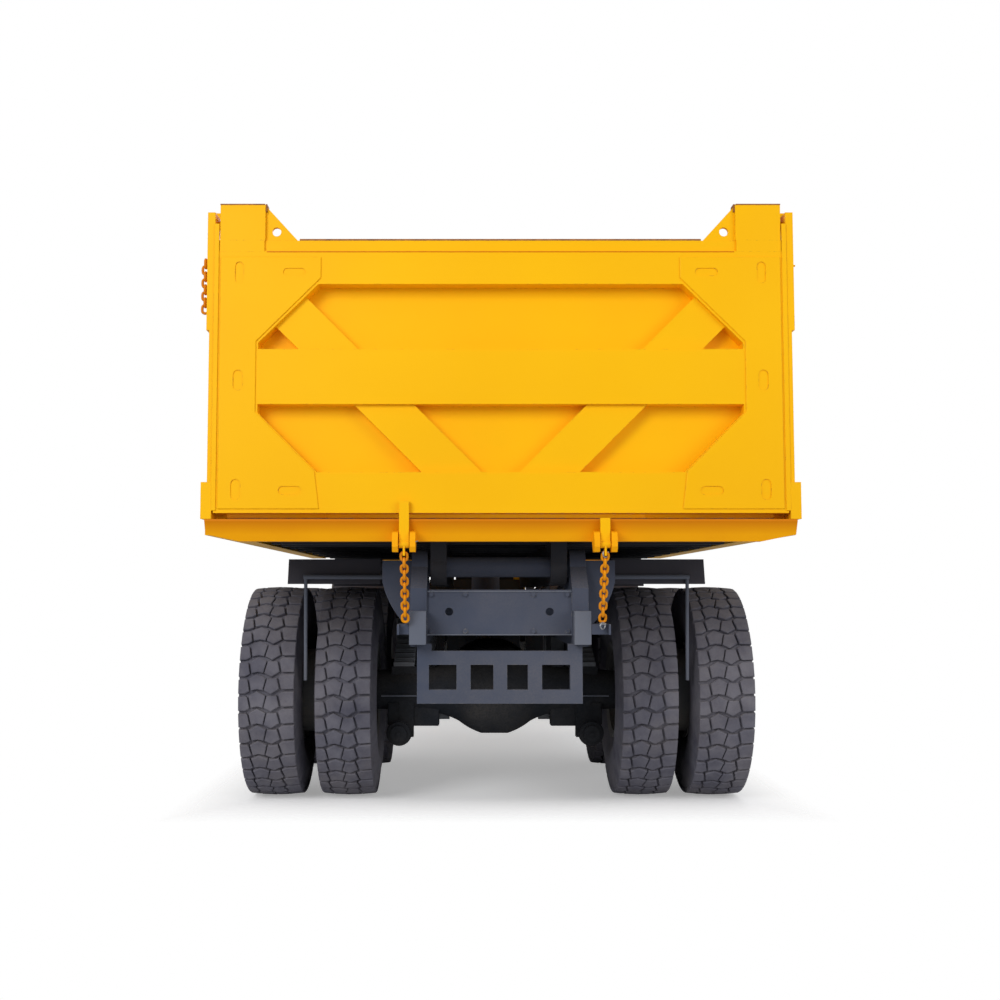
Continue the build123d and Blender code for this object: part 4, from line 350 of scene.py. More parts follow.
# Leaf packs and torque rods: rolled spring steel and forged rods under a thinner, paler coat.
# The leaves keep some of the mill's scale, which shows through as slow patches.
spring_steel, tree, shader = new_material("spring_steel")
site = group_node(tree, dust_group, Amount=0.25)
scale_skin = noise(tree, object_coordinates(tree), 30, 5, 0.6)
tone = mix_colour(tree, spread(tree, scale_skin, 0.3, 0.7), (0.080, 0.090, 0.108), (0.125, 0.136, 0.158))
tree.links.new(dusted(tree, site, tone), shader.inputs["Base Color"])
tree.links.new(spread(tree, scale_skin, 0.3, 0.7, 0.5, 0.7), shader.inputs["Roughness"])
bump(tree, shader, scale_skin, 0.0008, 0.5)
finish_node(spring_steel, "rear_suspension", "torque_rods")

# Engine curtain: a sheet of black rubber that hangs between the rails, behind the engine.
# It is painted shade: a dark sheet that fills the gap seen under the bed.
SHADE_CURTAIN_CORNERS = ((-0.62, 2.140, 1.472), (0.44, 2.148, 1.596))
black_rubber, tree, shader = new_material("black_rubber")
grain = noise(tree, object_coordinates(tree), 400, 2)
black = mix_colour(tree, grain, (0.012, 0.012, 0.013), (0.03, 0.03, 0.032))
tree.links.new(black, shader.inputs["Base Color"])
shader.inputs["Roughness"].default_value = 0.65
plate(*SHADE_CURTAIN_CORNERS, 0.001)
new_piece("engine_shade_curtain", black_rubber, "chassis")

# Rail bolts: two rows of flanged bolts along the outer web of each rail.
# They hold the cross members and brackets, and were sprayed with the frame.
RAIL_WEB_X = 0.547
RAIL_BOLTS_Z = (1.165, 1.425)
FIRST_RAIL_BOLT_Y = -3.30
RAIL_BOLT_PITCH = 0.43
RAIL_BOLT_COLUMNS = 17
rail_bolts = []
for sign in MIRRORED:
    for n in range(RAIL_BOLT_COLUMNS):
        y = FIRST_RAIL_BOLT_Y + n * RAIL_BOLT_PITCH
        for z in RAIL_BOLTS_Z:
            web = (sign * RAIL_WEB_X, y, z)
            rail_bolts.append(rod(web, (sign * (RAIL_WEB_X + 0.012), y, z), 0.012, 6))
            rail_bolts.append(rod(web, (sign * (RAIL_WEB_X + 0.004), y, z), 0.017, 12))
joined(rail_bolts)
new_piece("rail_bolts", frame_paint, "chassis")

# Brake chambers: pressed-steel pots clamped round the middle, bolted behind each drive axle's brackets.
# They carry the axles' dark coat.
SIDES = (("left", -1), ("right", 1))
MIDDLE_AXLE_Y = -1.13
REAR_AXLE_Y = -2.73
DRIVE_AXLES = (("middle", MIDDLE_AXLE_Y), ("rear", REAR_AXLE_Y))
CHAMBER_X = 0.685
CHAMBER_Z = 0.452
CHAMBER_FRONT = 0.129
# Pot, clamp ring, cap and stud: start and end behind the pot's front, radius and sides
CHAMBER_STEPS = (
    (0, 0.105, 0.082, 28),
    (0.045, 0.062, 0.091, 28),
    (0.10, 0.135, 0.058, 24),
    (0.13, 0.150, 0.016, 6),
)
for axle, axle_y in DRIVE_AXLES:
    for side, sign in SIDES:
        pot = []
        for start, end, radius, corners in CHAMBER_STEPS:
            front_y = axle_y - CHAMBER_FRONT
            near_end = (sign * CHAMBER_X, front_y - start, CHAMBER_Z)
            pot.append(rod(near_end, (sign * CHAMBER_X, front_y - end, CHAMBER_Z), radius, corners))
        pot.append(side_plate(sign, (0.600, 0.772), (axle_y - 0.125, axle_y + 0.02), (0.50, 0.66), 0.012))
        pot.append(side_plate(sign, (0.400, 0.640), (axle_y - 0.10, axle_y - 0.02), (0.492, 0.66), 0.012))
        joined(pot)
        new_piece(f"brake_chamber_{axle}_{side}", cast_material, "chassis")

# Brake pipes: two straight steel pipes, from beside the guard to the inner tyres, at the axle's height.
# They were sprayed with the tail blocks.
PIPE_ENDS_X = (0.550, 0.815)
PIPE_Y = -2.905
PIPE_Z = 0.714
joined([rod(*((sign * x, PIPE_Y, PIPE_Z) for x in PIPE_ENDS_X), 0.005, 10) for sign in MIRRORED])
new_piece("brake_pipes", block_paint, "chassis")

# Spring clips: steel straps folded round each leaf pack, with a bolt through their upper ends.
# The two in the middle stand taller, where the pack is thickest.
CLIP_EDGES_X = (0.572, 0.738)
CLIPS_Y = (-2.46, -2.20, -1.66, -1.40)
CLIP_HALF = 0.022
CLIP_THICK = 0.006
CLIP_FOOT_Z = 0.912
OUTER_CLIP_TOP_Z = 1.06
INNER_CLIP_TOP_Z = 1.20
clips = []
for sign in MIRRORED:
    near, far = sorted(sign * x for x in CLIP_EDGES_X)
    for y in CLIPS_Y:
        top = INNER_CLIP_TOP_Z if CLIPS_Y[0] < y < CLIPS_Y[-1] else OUTER_CLIP_TOP_Z
        clips.append(plate((near, y - CLIP_HALF, CLIP_FOOT_Z), (near + CLIP_THICK, y + CLIP_HALF, top)))
        clips.append(plate((far - CLIP_THICK, y - CLIP_HALF, CLIP_FOOT_Z), (far, y + CLIP_HALF, top)))
        clips.append(rod((near, y, top - 0.015), (far, y, top - 0.015), 0.009, 8))
joined(clips)
new_piece("spring_clips", spring_steel, "chassis")

# Tyres: radial earthmover tyres, each a smooth casing with four columns of tread blocks moulded on it.
# Black rubber, browned and paled by dried dirt on the tread, darker in the grooves.
TYRE_RADIUS = 0.7465
GROOVE_DEPTH = 0.026
TREAD_ROWS = 40
CROWN_DROP = 0.012
TREAD_HALF = 0.1875
SIDEWALL_HALF = 0.215
BEAD_RADIUS = 0.322
BULGE_RADIUS = 0.523
DUAL_SPACING = 0.515
BLOCK_EDGE = 0.005
BLOCK_EDGE_DROP = 0.004
ROW_PITCH = 2 * pi * TYRE_RADIUS / TREAD_ROWS
rubber, tree, shader = new_material("tyre_rubber")
site = group_node(tree, dust_group, Amount=0.38)
dirt = spread(tree, noise(tree, object_coordinates(tree), 5, 9, 0.68), 0.33, 0.66)
tone = mix_colour(tree, dirt, (0.084, 0.083, 0.112), (0.160, 0.157, 0.190))
tree.links.new(dusted(tree, site, tone, (0.28, 0.25, 0.235)), shader.inputs["Base Color"])
shader.inputs["Roughness"].default_value = 0.86
shader.inputs["Specular IOR Level"].default_value = 0.3
bump(tree, shader, noise(tree, object_coordinates(tree), 150, 5, 0.7), 0.001, 0.5)


def crown_radius(across):
    """The tread's radius at a distance from the tyre's middle, lower towards the shoulders."""
    return TYRE_RADIUS - CROWN_DROP * (across / TREAD_HALF) ** 2


def drawn_line(points):
    """One vertex drawn through the points by extruding it, left in edit mode."""
    bpy.ops.object.select_all(action="DESELECT")
    bpy.ops.mesh.primitive_plane_add(size=0.01, location=points[0], enter_editmode=True)
    bpy.ops.mesh.merge(type="CENTER")
    for start, end in zip(points, points[1:]):
        bpy.ops.mesh.extrude_region_move(TRANSFORM_OT_translate={"value": Vector(end) - Vector(start)})
    bpy.ops.mesh.select_all(action="SELECT")


# Casing section from bead to bead, spun round the axle
casing_half = (
    (0.153, BEAD_RADIUS),
    (0.170, 0.352),
    (0.178, 0.392),
    (0.199, 0.440),
    (0.212, 0.487),
    (SIDEWALL_HALF, BULGE_RADIUS),
    (0.211, 0.568),
    (0.201, 0.622),
    (0.192, 0.668),
    (0.186, 0.700),
    (0.172, TYRE_RADIUS - GROOVE_DEPTH - 0.010),
    (0.090, TYRE_RADIUS - GROOVE_DEPTH - 0.003),
    (0, TYRE_RADIUS - GROOVE_DEPTH),
)
section = [(x, 0, r) for x, r in casing_half] + [(-x, 0, r) for x, r in reversed(casing_half[:-1])]
drawn_line(section)
bpy.ops.mesh.spin(steps=72, angle=2 * pi, center=(0, 0, 0), axis=(1, 0, 0))
bpy.ops.mesh.select_all(action="SELECT")
bpy.ops.mesh.remove_doubles(threshold=0.0005)
bpy.ops.mesh.normals_make_consistent(inside=False)
bpy.ops.object.mode_set(mode="OBJECT")
casing = bpy.context.object
casing.name = "casing_pattern"

# Tread blocks of one row, each an outline across the tread and along the roll, in metres and row pitches
tread_blocks = (
    ((-0.187, 0.10), (-0.142, 0.10), (-0.1115, 0.25), (-0.125, 0.86), (-0.134, 0.94), (-0.187, 0.90)),
    ((-0.1005, 0.28), (-0.0595, 0.36), (-0.0215, 0.29), (-0.0017, 0.98), (-0.0595, 1.24), (-0.1148, 0.95)),
    ((-0.0136, 0.29), (0.034, 0.075), (0.0895, 0.37), (0.0723, 0.99), (0.037, 0.965), (0.0068, 0.98)),
    ((0.114, 0.345), (0.187, 0.38), (0.187, 1.22), (0.110, 1.215), (0.0845, 1.07), (0.1015, 0.40)),
)
row_pieces = []
for outline in tread_blocks:
    middle = sum(x for x, s in outline) / len(outline)
    tilt = -2 * CROWN_DROP * middle / TREAD_HALF**2
    ring = []
    for x, s in outline:
        turn = (s - 0.5) * ROW_PITCH / TYRE_RADIUS
        radius = crown_radius(middle) + tilt * (x - middle) - 0.0005
        ring.append((x, radius * sin(turn), radius * cos(turn)))
    drawn_line(ring)
    bpy.ops.mesh.edge_face_add()
    bpy.ops.mesh.inset(thickness=BLOCK_EDGE, depth=0)
    bpy.ops.mesh.select_all(action="INVERT")
    bpy.ops.transform.translate(value=(0, 0, -BLOCK_EDGE_DROP))
    bpy.ops.mesh.extrude_region_move(TRANSFORM_OT_translate={"value": (0, 0, -GROOVE_DEPTH)})
    bpy.ops.mesh.select_all(action="SELECT")
    bpy.ops.mesh.normals_make_consistent(inside=False)
    bpy.ops.object.mode_set(mode="OBJECT")
    row_pieces.append(bpy.context.object)
tread = joined(row_pieces)
tread.name = "tread_pattern"
bpy.ops.object.mode_set(mode="EDIT")
bpy.ops.mesh.select_all(action="SELECT")
around = 2 * pi * (TREAD_ROWS - 1) / TREAD_ROWS
bpy.ops.mesh.spin(steps=TREAD_ROWS - 1, dupli=True, angle=around, center=(0, 0, 0), axis=(1, 0, 0))
bpy.ops.object.mode_set(mode="OBJECT")
tyre_pattern = joined([casing, tread])
tyre_pattern.name = "tyre_pattern"
apply_place(tyre_pattern)
dress(tyre_pattern, rubber)
bpy.ops.object.shade_smooth_by_angle(angle=radians(32))


def own_copy(pattern):
    """A copy of a pattern piece with a mesh of its own."""
    copy = pattern.copy()
    copy.data = pattern.data.copy()
    bpy.context.scene.collection.objects.link(copy)
    return copy


def fitted_tyres(node, body, turned):
    """Copies of the tyre on one axle end, one or two side by side as the node holds, turned on the axle."""
    near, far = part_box(node)
    middle = (near + far) / 2
    twin = far.x - near.x > 2 * SIDEWALL_HALF + 0.1
    copies = []
    for step in ((-DUAL_SPACING / 2, DUAL_SPACING / 2) if twin else (0,)):
        copy = own_copy(tyre_pattern)
        copy.location = (middle.x + step, middle.y, middle.z)
        copy.rotation_euler = (turned + step, 0, 0)
        copies.append(copy)
    tyres = joined(copies) if twin else copies[0]
    tyres.name = f"treaded_{node}"
    apply_place(tyres)
    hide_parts(node)
    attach(tyres, body)


for axle, _ in DRIVE_AXLES:
    for side, _ in SIDES:
        fitted_tyres(f"{axle}_{side}_tyres", f"{axle}_{side}_wheels", 0.0)
for side, _ in SIDES:
    fitted_tyres(f"front_{side}_tyre", f"front_{side}_wheel", 0.02)
bpy.data.objects.remove(tyre_pattern)

# Rims: welded steel discs and drums, sprayed grey, with hubs of the same colour.
# Dust from the brakes and the site lies thick on them.
rim_paint = sprayed_paint("rim_grey", (0.11, 0.115, 0.125), (0.14, 0.145, 0.155), 0.6, 0.5, False)
for side, _ in SIDES:
    finish_node(rim_paint, f"middle_{side}_rims", f"rear_{side}_rims", f"front_{side}_rim")

# Wheel nuts: ten flanged nuts on each disc, and eight bolts round each hub's end cover.
# Forged steel, painted over with the rims.
FRONT_AXLE_Y = 2.77
TWIN_DISC_X = 1.330
TWIN_HUB_X = 1.660
FRONT_DISC_X = 1.435
FRONT_HUB_X = 1.570
# Circle's radius, count and height of the nuts
WHEEL_NUTS = (0.236, 10, 0.032)
TWIN_HUB_BOLTS = (0.095, 8, 0.014)
FRONT_HUB_BOLTS = (0.070, 8, 0.014)


def nut_ring(name, body, face_x, axle_y, outward, nuts):
    """Hexagon nuts with washers round an axle, standing out from the face of a disc or hub."""
    circle, count, size = nuts
    x = outward * face_x
    ring = []
    for n in range(count):
        turn = 2 * pi * n / count
        y, z = axle_y + circle * cos(turn), TYRE_RADIUS + circle * sin(turn)
        foot = (x - outward * 0.001, y, z)
        ring.append(rod(foot, (x + outward * size, y, z), size * 0.62, 6))
        ring.append(rod(foot, (x + outward * 0.005, y, z), size * 0.85, 16))
    joined(ring)
    new_piece(name, rim_paint, body)


for side, sign in SIDES:
    for axle, axle_y in DRIVE_AXLES:
        body = f"{axle}_{side}_wheels"
        nut_ring(f"wheel_nuts_{axle}_{side}", body, TWIN_DISC_X, axle_y, sign, WHEEL_NUTS)
        nut_ring(f"hub_bolts_{axle}_{side}", body, TWIN_HUB_X, axle_y, sign, TWIN_HUB_BOLTS)
    body = f"front_{side}_wheel"
    nut_ring(f"wheel_nuts_front_{side}", body, FRONT_DISC_X, FRONT_AXLE_Y, sign, WHEEL_NUTS)
    nut_ring(f"hub_bolts_front_{side}", body, FRONT_HUB_X, FRONT_AXLE_Y, sign, FRONT_HUB_BOLTS)

# Rock ejectors: steel bars that hang between the twin tyres and knock out stones.
# Each is welded to a tube that is held behind the rear mudguard by three short pins.
EJECTOR_X = 1.295
EJECTOR_FOOT = (-3.395, 0.86)
EJECTOR_TUBE = (-3.433, 1.558)
EJECTOR_TUBE_ENDS_X = (0.725, 1.31)
EJECTOR_PINS_X = (0.76, 1.00, 1.24)
EJECTOR_PIN_ENDS = ((-3.445, 1.552), (-3.395, 1.560))
ejectors = []
for sign in MIRRORED:
    ejectors.append(rod((sign * EJECTOR_X, *EJECTOR_FOOT), (sign * EJECTOR_X, *EJECTOR_TUBE), 0.012))
    ejectors.append(rod(*((sign * x, *EJECTOR_TUBE) for x in EJECTOR_TUBE_ENDS_X), 0.016))
    for x in EJECTOR_PINS_X:
        ejectors.append(rod(*((sign * x, *end) for end in EJECTOR_PIN_ENDS), 0.010, 8))
joined(ejectors)
new_piece("rock_ejectors", block_paint, "chassis")

# Bed, tailgate and cab: heavy plate sprayed in a warm machine yellow with a satin sheen.
# Chipped along its edges, down to an orange-brown primer.
YELLOW = (0.985, 0.520, 0.002)
YELLOW_SHADE = (0.955, 0.487, 0.002)
yellow = sprayed_paint("bed_yellow", YELLOW, YELLOW_SHADE, 0.04, 0.45, True, (0.42, 0.15, 0.02))
finish_node(yellow, "tailgate", "bed_sides", "bed_front_wall")
finish_node(yellow, "left_tailgate_hook", "right_tailgate_hook")
finish_node(yellow, "cab_shell", "cab_door", "radiator_housing")
finish_node(frame_paint, "hoist_barrel", "air_cleaner")

# Deck and ladder: chequer plate underfoot, in the bed's yellow, scuffed where people step.
# The raised diamonds are rolled into the sheet, on the faces that point up.
LUG_FREQUENCY = 110
deck_paint, tree, shader = new_material("chequer_yellow")
shader.inputs["Specular IOR Level"].default_value = 0.15
site = group_node(tree, dust_group, Amount=0.35)
tone = mottled(tree, site, YELLOW, (0.93, 0.47, 0.003))
tree.links.new(dusted(tree, site, tone), shader.inputs["Base Color"])
shader.inputs["Roughness"].default_value = 0.5
ridges = []
for way in MIRRORED:
    slanted = tree.nodes.new("ShaderNodeVectorMath")
    slanted.operation = "DOT_PRODUCT"
    slanted.inputs[1].default_value = (LUG_FREQUENCY, way * LUG_FREQUENCY, 0)
    tree.links.new(object_coordinates(tree), slanted.inputs[0])
    wave = tree.nodes.new("ShaderNodeMath")
    wave.operation = "SINE"
    tree.links.new(slanted.outputs["Value"], wave.inputs[0])
    ridges.append(spread(tree, wave.outputs["Value"], 0.55, 0.85))
lugs = combine(tree, "MULTIPLY", combine(tree, "MULTIPLY", *ridges), facing_up(tree))
bump(tree, shader, lugs, 0.004, 0.8)
finish_node(deck_paint, "deck", "ladder")

# Underside of the bed: ribs and sills, sprayed near-black against stone chips.
# The mudguards are sheet in a slightly bluer coat of the same kind.
under_paint = sprayed_paint("underbody_black", (0.030, 0.031, 0.040), (0.044, 0.046, 0.056), 0.20, 0.6, True)
finish_node(under_paint, "bed_subframe")
guard_sheet = sprayed_paint("mudguard_sheet", (0.066, 0.065, 0.082), (0.085, 0.084, 0.102), 0.20, 0.6, False)
finish_node(guard_sheet, "mudguards", "front_mudguards")

# Corner plates: three small plates welded under the floor at its front left corner.
# Steel in the bed's yellow.
CORNER_PLATES_X = (-1.636, -1.528, -1.420)
CORNER_PLATE_WIDTH = 0.098
CORNER_PLATE_REAR = (0.745, 1.803)
CORNER_PLATE_FRONT = (0.757, 1.8835)
corner = []
for x in CORNER_PLATES_X:
    corner.append(plate((x, *CORNER_PLATE_REAR), (x + CORNER_PLATE_WIDTH, *CORNER_PLATE_FRONT), 0.001))
joined(corner)
new_piece("bed_front_corner_plates", yellow, "bed")

# Floor of the bed: yellow plate scoured lengthwise by the load, down to dull steel in places.
# Its downward faces are near-black: painted shade on the plate's underside.
SCOUR_STRETCH = (9, 1.1, 9)
floor_paint, tree, shader = new_material("scoured_floor_with_painted_underside_shade")
drawn_out = tree.nodes.new("ShaderNodeVectorMath")
drawn_out.operation = "MULTIPLY"
drawn_out.inputs[1].default_value = SCOUR_STRETCH
tree.links.new(object_coordinates(tree), drawn_out.inputs[0])
scours = noise(tree, drawn_out.outputs["Vector"], 1.6, 9, 0.68)
steel = mix_colour(tree, spread(tree, scours, 0.38, 0.66), (0.74, 0.37, 0.012), (0.37, 0.27, 0.17))
# Faces turned down take a near-black painted shade.
underside_shade = spread(tree, along_axis(tree, surface_normal(tree), "Z"), -0.4, -0.6)
tree.links.new(mix_colour(tree, underside_shade, steel, (0.022, 0.025, 0.032)), shader.inputs["Base Color"])
tree.links.new(spread(tree, scours, 0.3, 0.7, 0.6, 0.35), shader.inputs["Roughness"])
finish_node(floor_paint, "bed_floor")

# Front bumper: a folded plate beam, sprayed yellow in front with the cab.
# Its rearward faces are near-black: painted shade behind the bumper, where it is seen from under the truck.
bumper_paint, tree, shader = new_material("bumper_yellow_and_painted_shade")
shader.inputs["Specular IOR Level"].default_value = 0.15
shader.inputs["Roughness"].default_value = 0.5
site = group_node(tree, dust_group, Amount=0.15)
tone = dusted(tree, site, mottled(tree, site, YELLOW, YELLOW_SHADE))
# Faces turned to the rear take a near-black painted shade.
rear_face_shade = spread(tree, along_axis(tree, surface_normal(tree), "Y"), -0.4, -0.6)
tree.links.new(mix_colour(tree, rear_face_shade, tone, (0.020, 0.022, 0.026)), shader.inputs["Base Color"])
orange_peel(tree, shader)
finish_node(bumper_paint, "front_bumper")

# Tail beam: folded plate under the gate, in a deeper yellow than the bed.
# It is darkened to brown along its top: a painted shadow of the gate above it.
BEAM_GATE_SHADOW_Z = (1.795, 1.880)
beam_paint, tree, shader = new_material("beam_yellow_with_painted_gate_shadow")
shader.inputs["Specular IOR Level"].default_value = 0.12
runs = noise(tree, object_coordinates(tree), 3, 5, 0.6)
# Painted shadow of the gate: brown at the beam's top, fading out lower down.
gate_shadow = spread(tree, along_axis(tree, object_coordinates(tree), "Z"), *BEAM_GATE_SHADOW_Z)
tone = mix_colour(tree, spread(tree, runs, 0.3, 0.7), (1.0, 0.43, 0.001), (0.95, 0.39, 0.001))
tree.links.new(mix_colour(tree, gate_shadow, tone, (0.68, 0.20, 0.001)), shader.inputs["Base Color"])
shader.inputs["Roughness"].default_value = 0.5
orange_peel(tree, shader)
finish_node(beam_paint, "bed_tail_beam")

# Tailgate patches: two tall plates laid over the ends of the gate's frame and held by plug welds in slots.
# The same plate and paint as the gate; each slot shows as a shallow rounded recess.
PATCH_THICK = 0.008
PATCH_BEVEL = 0.004
SLOT_DEPTH = 0.006
gate_rear_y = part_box("tailgate")[0].y
patch_outline = (
    (1.674, 3.457),
    (1.073, 3.457),
    (1.073, 3.330),
    (1.457, 2.946),
    (1.457, 2.523),
    (1.102, 2.168),
    (1.075, 1.945),
    (1.674, 1.945),
)
# Plug-weld slots: across, up, width, height
patch_slots = (
    (1.232, 3.365, 0.135, 0.046),
    (1.560, 3.362, 0.052, 0.130),
    (1.562, 2.712, 0.058, 0.124),
    (1.568, 2.060, 0.058, 0.124),
    (1.248, 2.054, 0.136, 0.050),
)


def drawn_plate(name, outline, outer_y, thickness, bevel_width):
    """A flat plate across the truck, cut to an outline of (x, z) corners, its edges dressed."""
    drawn_line([(x, outer_y, z) for x, z in outline])
    bpy.ops.mesh.edge_face_add()
    bpy.ops.mesh.extrude_region_move(TRANSFORM_OT_translate={"value": (0, thickness, 0)})
    bpy.ops.mesh.select_all(action="SELECT")
    bpy.ops.mesh.normals_make_consistent(inside=False)
    if bevel_width:
        bpy.ops.mesh.bevel(offset=bevel_width, segments=2, affect="EDGES")
    bpy.ops.object.mode_set(mode="OBJECT")
    drawn = bpy.context.object
    drawn.name = name
    apply_place(drawn)
    return drawn


def stadium(x, z, width, height):
    """The rim of a slot with round ends, lying along its longer side."""
    radius = min(width, height) / 2
    reach = max(width, height) / 2 - radius
    rim = []
    for end in (1, -1):
        for step in range(7):
            turn = pi * step / 6 - end * pi / 2
            along, across = end * reach + radius * cos(turn), radius * sin(turn)
            rim.append((x + along, z + across) if width > height else (x - across, z + along))
    return rim


def cut_with(piece, cutter):
    cut = piece.modifiers.new("cut", "BOOLEAN")
    cut.operation = "DIFFERENCE"
    cut.object = cutter
    cut.solver = "EXACT"
    pick(piece)
    bpy.ops.object.modifier_apply(modifier=cut.name)
    bpy.data.objects.remove(cutter)


for side, sign in SIDES:
    outline = [(sign * x, z) for x, z in patch_outline]
    patch = drawn_plate(f"gate_patch_{side}", outline, gate_rear_y - PATCH_THICK, PATCH_THICK, PATCH_BEVEL)
    for x, z, width, height in patch_slots:
        rim = stadium(sign * x, z, width, height)
        slot = drawn_plate("slot_cutter", rim, gate_rear_y - PATCH_THICK - SLOT_DEPTH, 2 * SLOT_DEPTH, 0)
        cut_with(patch, slot)
    new_piece(f"gate_patch_{side}", yellow, "tailgate")

# Gate edges: a folded lip down each side that covers the gap to the post, plates that carry the ears down
# to the patches, and the seam under the gate's top fold, dark brown as a line of painted shade.
SIDE_LIP = ((1.684, 1.7125), (-4.5875, -4.5812), (1.935, 3.66))
EAR_ROOT = ((1.4142, 1.6818), (-4.5803, -4.5655), (3.490, 3.5605))
SEAM_CORNERS = ((-1.40, -4.5818, 3.486), (1.40, -4.5798, 3.4925))
lips = []
for sign in MIRRORED:
    lips.append(side_plate(sign, *SIDE_LIP, 0.0025))
    lips.append(side_plate(sign, *EAR_ROOT, 0))
joined(lips)
new_piece("gate_side_lips", yellow, "tailgate")
# The seam wears the beam's paint, which at this height is all painted-shadow brown.
plate(*SEAM_CORNERS, 0.0006)
new_piece("gate_top_seam_shade_line", beam_paint, "tailgate")

# Worn top edges: the gate's top, its ears' tops and their inner corners.
# The loader's bucket has knocked the paint through to brown primer there.
GATE_TOP_CORNERS = ((-1.205, -4.5662, 3.5605), (1.205, -4.4545, 3.572))
EAR_TOP = ((1.414, 1.682), (-4.5815, -4.4545), (3.7745, 3.783))
EAR_CORNER = ((1.4005, 1.411), (-4.575, -4.50), (3.735, 3.783))
worn_edge, tree, shader = new_material("worn_edge_primer")
wear = noise(tree, object_coordinates(tree), 18, 6, 0.7)
primer = mix_colour(tree, spread(tree, wear, 0.35, 0.65), (0.19, 0.065, 0.012), (0.42, 0.155, 0.02))
tree.links.new(primer, shader.inputs["Base Color"])
shader.inputs["Roughness"].default_value = 0.7
bump(tree, shader, wear, 0.002, 0.6)
edges = [plate(*GATE_TOP_CORNERS, 0.002)]
for sign in MIRRORED:
    edges.append(side_plate(sign, *EAR_TOP, 0.002))
    edges.append(side_plate(sign, *EAR_CORNER, 0.002))
joined(edges)
new_piece("gate_top_edges", worn_edge, "tailgate")

# Chains: short-link round-wire chain, welded links in worn orange-yellow paint.
# Two hold the tailgate's hooks to the frame; a loose one hangs on the left post for tying the gate up.
LINK_WIRE_RADIUS = 0.0085
LINK_HALF_WIDTH = 0.027
LINK_HALF_LENGTH = 0.0345
LINK_PITCH = 0.040
HOOK_LINKS = 11
LOOSE_LINKS = 8
CHAIN_LEAN = radians(24.7)
HOOK_EYES_X = (("left", -0.570), ("right", 0.612))
HOOK_EYE_Y = -4.603
CHAIN_TOP_Z = 1.688
LOOSE_CHAIN_TOP = (-1.786, -4.470, 3.462)
chain_paint = sprayed_paint("chain_orange", (0.92, 0.37, 0.006), (0.70, 0.22, 0.005), 0.10, 0.4, True)
bpy.ops.object.select_all(action="DESELECT")
bpy.ops.mesh.primitive_torus_add(
    major_radius=LINK_HALF_WIDTH - LINK_WIRE_RADIUS,
    minor_radius=LINK_WIRE_RADIUS,
    major_segments=16,
    minor_segments=8,
)
link_pattern = bpy.context.object
bpy.ops.object.mode_set(mode="EDIT")
for way in MIRRORED:
    bpy.ops.mesh.select_all(action="DESELECT")
    bpy.ops.object.mode_set(mode="OBJECT")
    for vertex in link_pattern.data.vertices:
        vertex.select = way * vertex.co.y > 0.0001
    bpy.ops.object.mode_set(mode="EDIT")
    bpy.ops.transform.translate(value=(0, way * (LINK_HALF_LENGTH - LINK_HALF_WIDTH), 0))
bpy.ops.object.mode_set(mode="OBJECT")
bpy.ops.object.shade_smooth()


def round_link_chain(node, body, top, lean, count, first_across):
    """A strand of links over a CAD chain, each turned a quarter against the one above."""
    links = []
    for n in range(count):
        drop = LINK_HALF_LENGTH - 2 * LINK_WIRE_RADIUS + n * LINK_PITCH
        link = own_copy(link_pattern)
        quarter = 0 if (n % 2 == 0) == first_across else pi / 2
        upright = Matrix.Rotation(quarter, 4, "Z") @ Matrix.Rotation(pi / 2, 4, "X")
        centre = Vector(top) + drop * Vector((0, sin(lean), -cos(lean)))
        link.matrix_world = Matrix.Translation(centre) @ (Matrix.Rotation(lean, 4, "X") @ upright)
        links.append(link)
    chain = joined(links)
    chain.name = f"round_{node}"
    apply_place(chain)
    dress(chain, chain_paint)
    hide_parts(node)
    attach(chain, body)


for side, across in HOOK_EYES_X:
    top_y = HOOK_EYE_Y + LINK_WIRE_RADIUS * sin(CHAIN_LEAN)
    top = (across, top_y, CHAIN_TOP_Z - LINK_WIRE_RADIUS * cos(CHAIN_LEAN))
    round_link_chain(f"{side}_tailgate_chain", f"{side}_chain", top, CHAIN_LEAN, HOOK_LINKS, True)
round_link_chain("side_chain", "bed", LOOSE_CHAIN_TOP, 0, LOOSE_LINKS, False)
bpy.data.objects.remove(link_pattern)

# Shackles: bows of bare galvanised wire with a screwed pin, at the top and foot of the right-hand chain.
# A bent wire of the same stuff keeps the left hook's pin from working out.
SHACKLE_X = 0.612
SHACKLE_PIN_HALF = 0.020
SHACKLE_PIN_RISE = 0.010
SHACKLE_BOW_RADIUS = 0.020
SHACKLE_WIRE_RADIUS = 0.0045
SHACKLES = (("top", HOOK_EYE_Y, 1.679, "right_hook"), ("foot", -4.424, 1.255, "right_chain"))
RETAINER_WIRES = (
    ((-0.532, -4.605, 1.742), (-0.500, -4.612, 1.748)),
    ((-0.510, -4.611, 1.747), (-0.488, -4.603, 1.756)),
)
zinc, tree, shader = new_material("zinc_wire")
spangle = noise(tree, object_coordinates(tree), 120, 3)
bright = mix_colour(tree, spangle, (0.30, 0.31, 0.33), (0.52, 0.53, 0.55))
tree.links.new(bright, shader.inputs["Base Color"])
tree.links.new(spread(tree, spangle, 0.3, 0.7, 0.3, 0.5), shader.inputs["Roughness"])
shader.inputs["Metallic"].default_value = 0.9
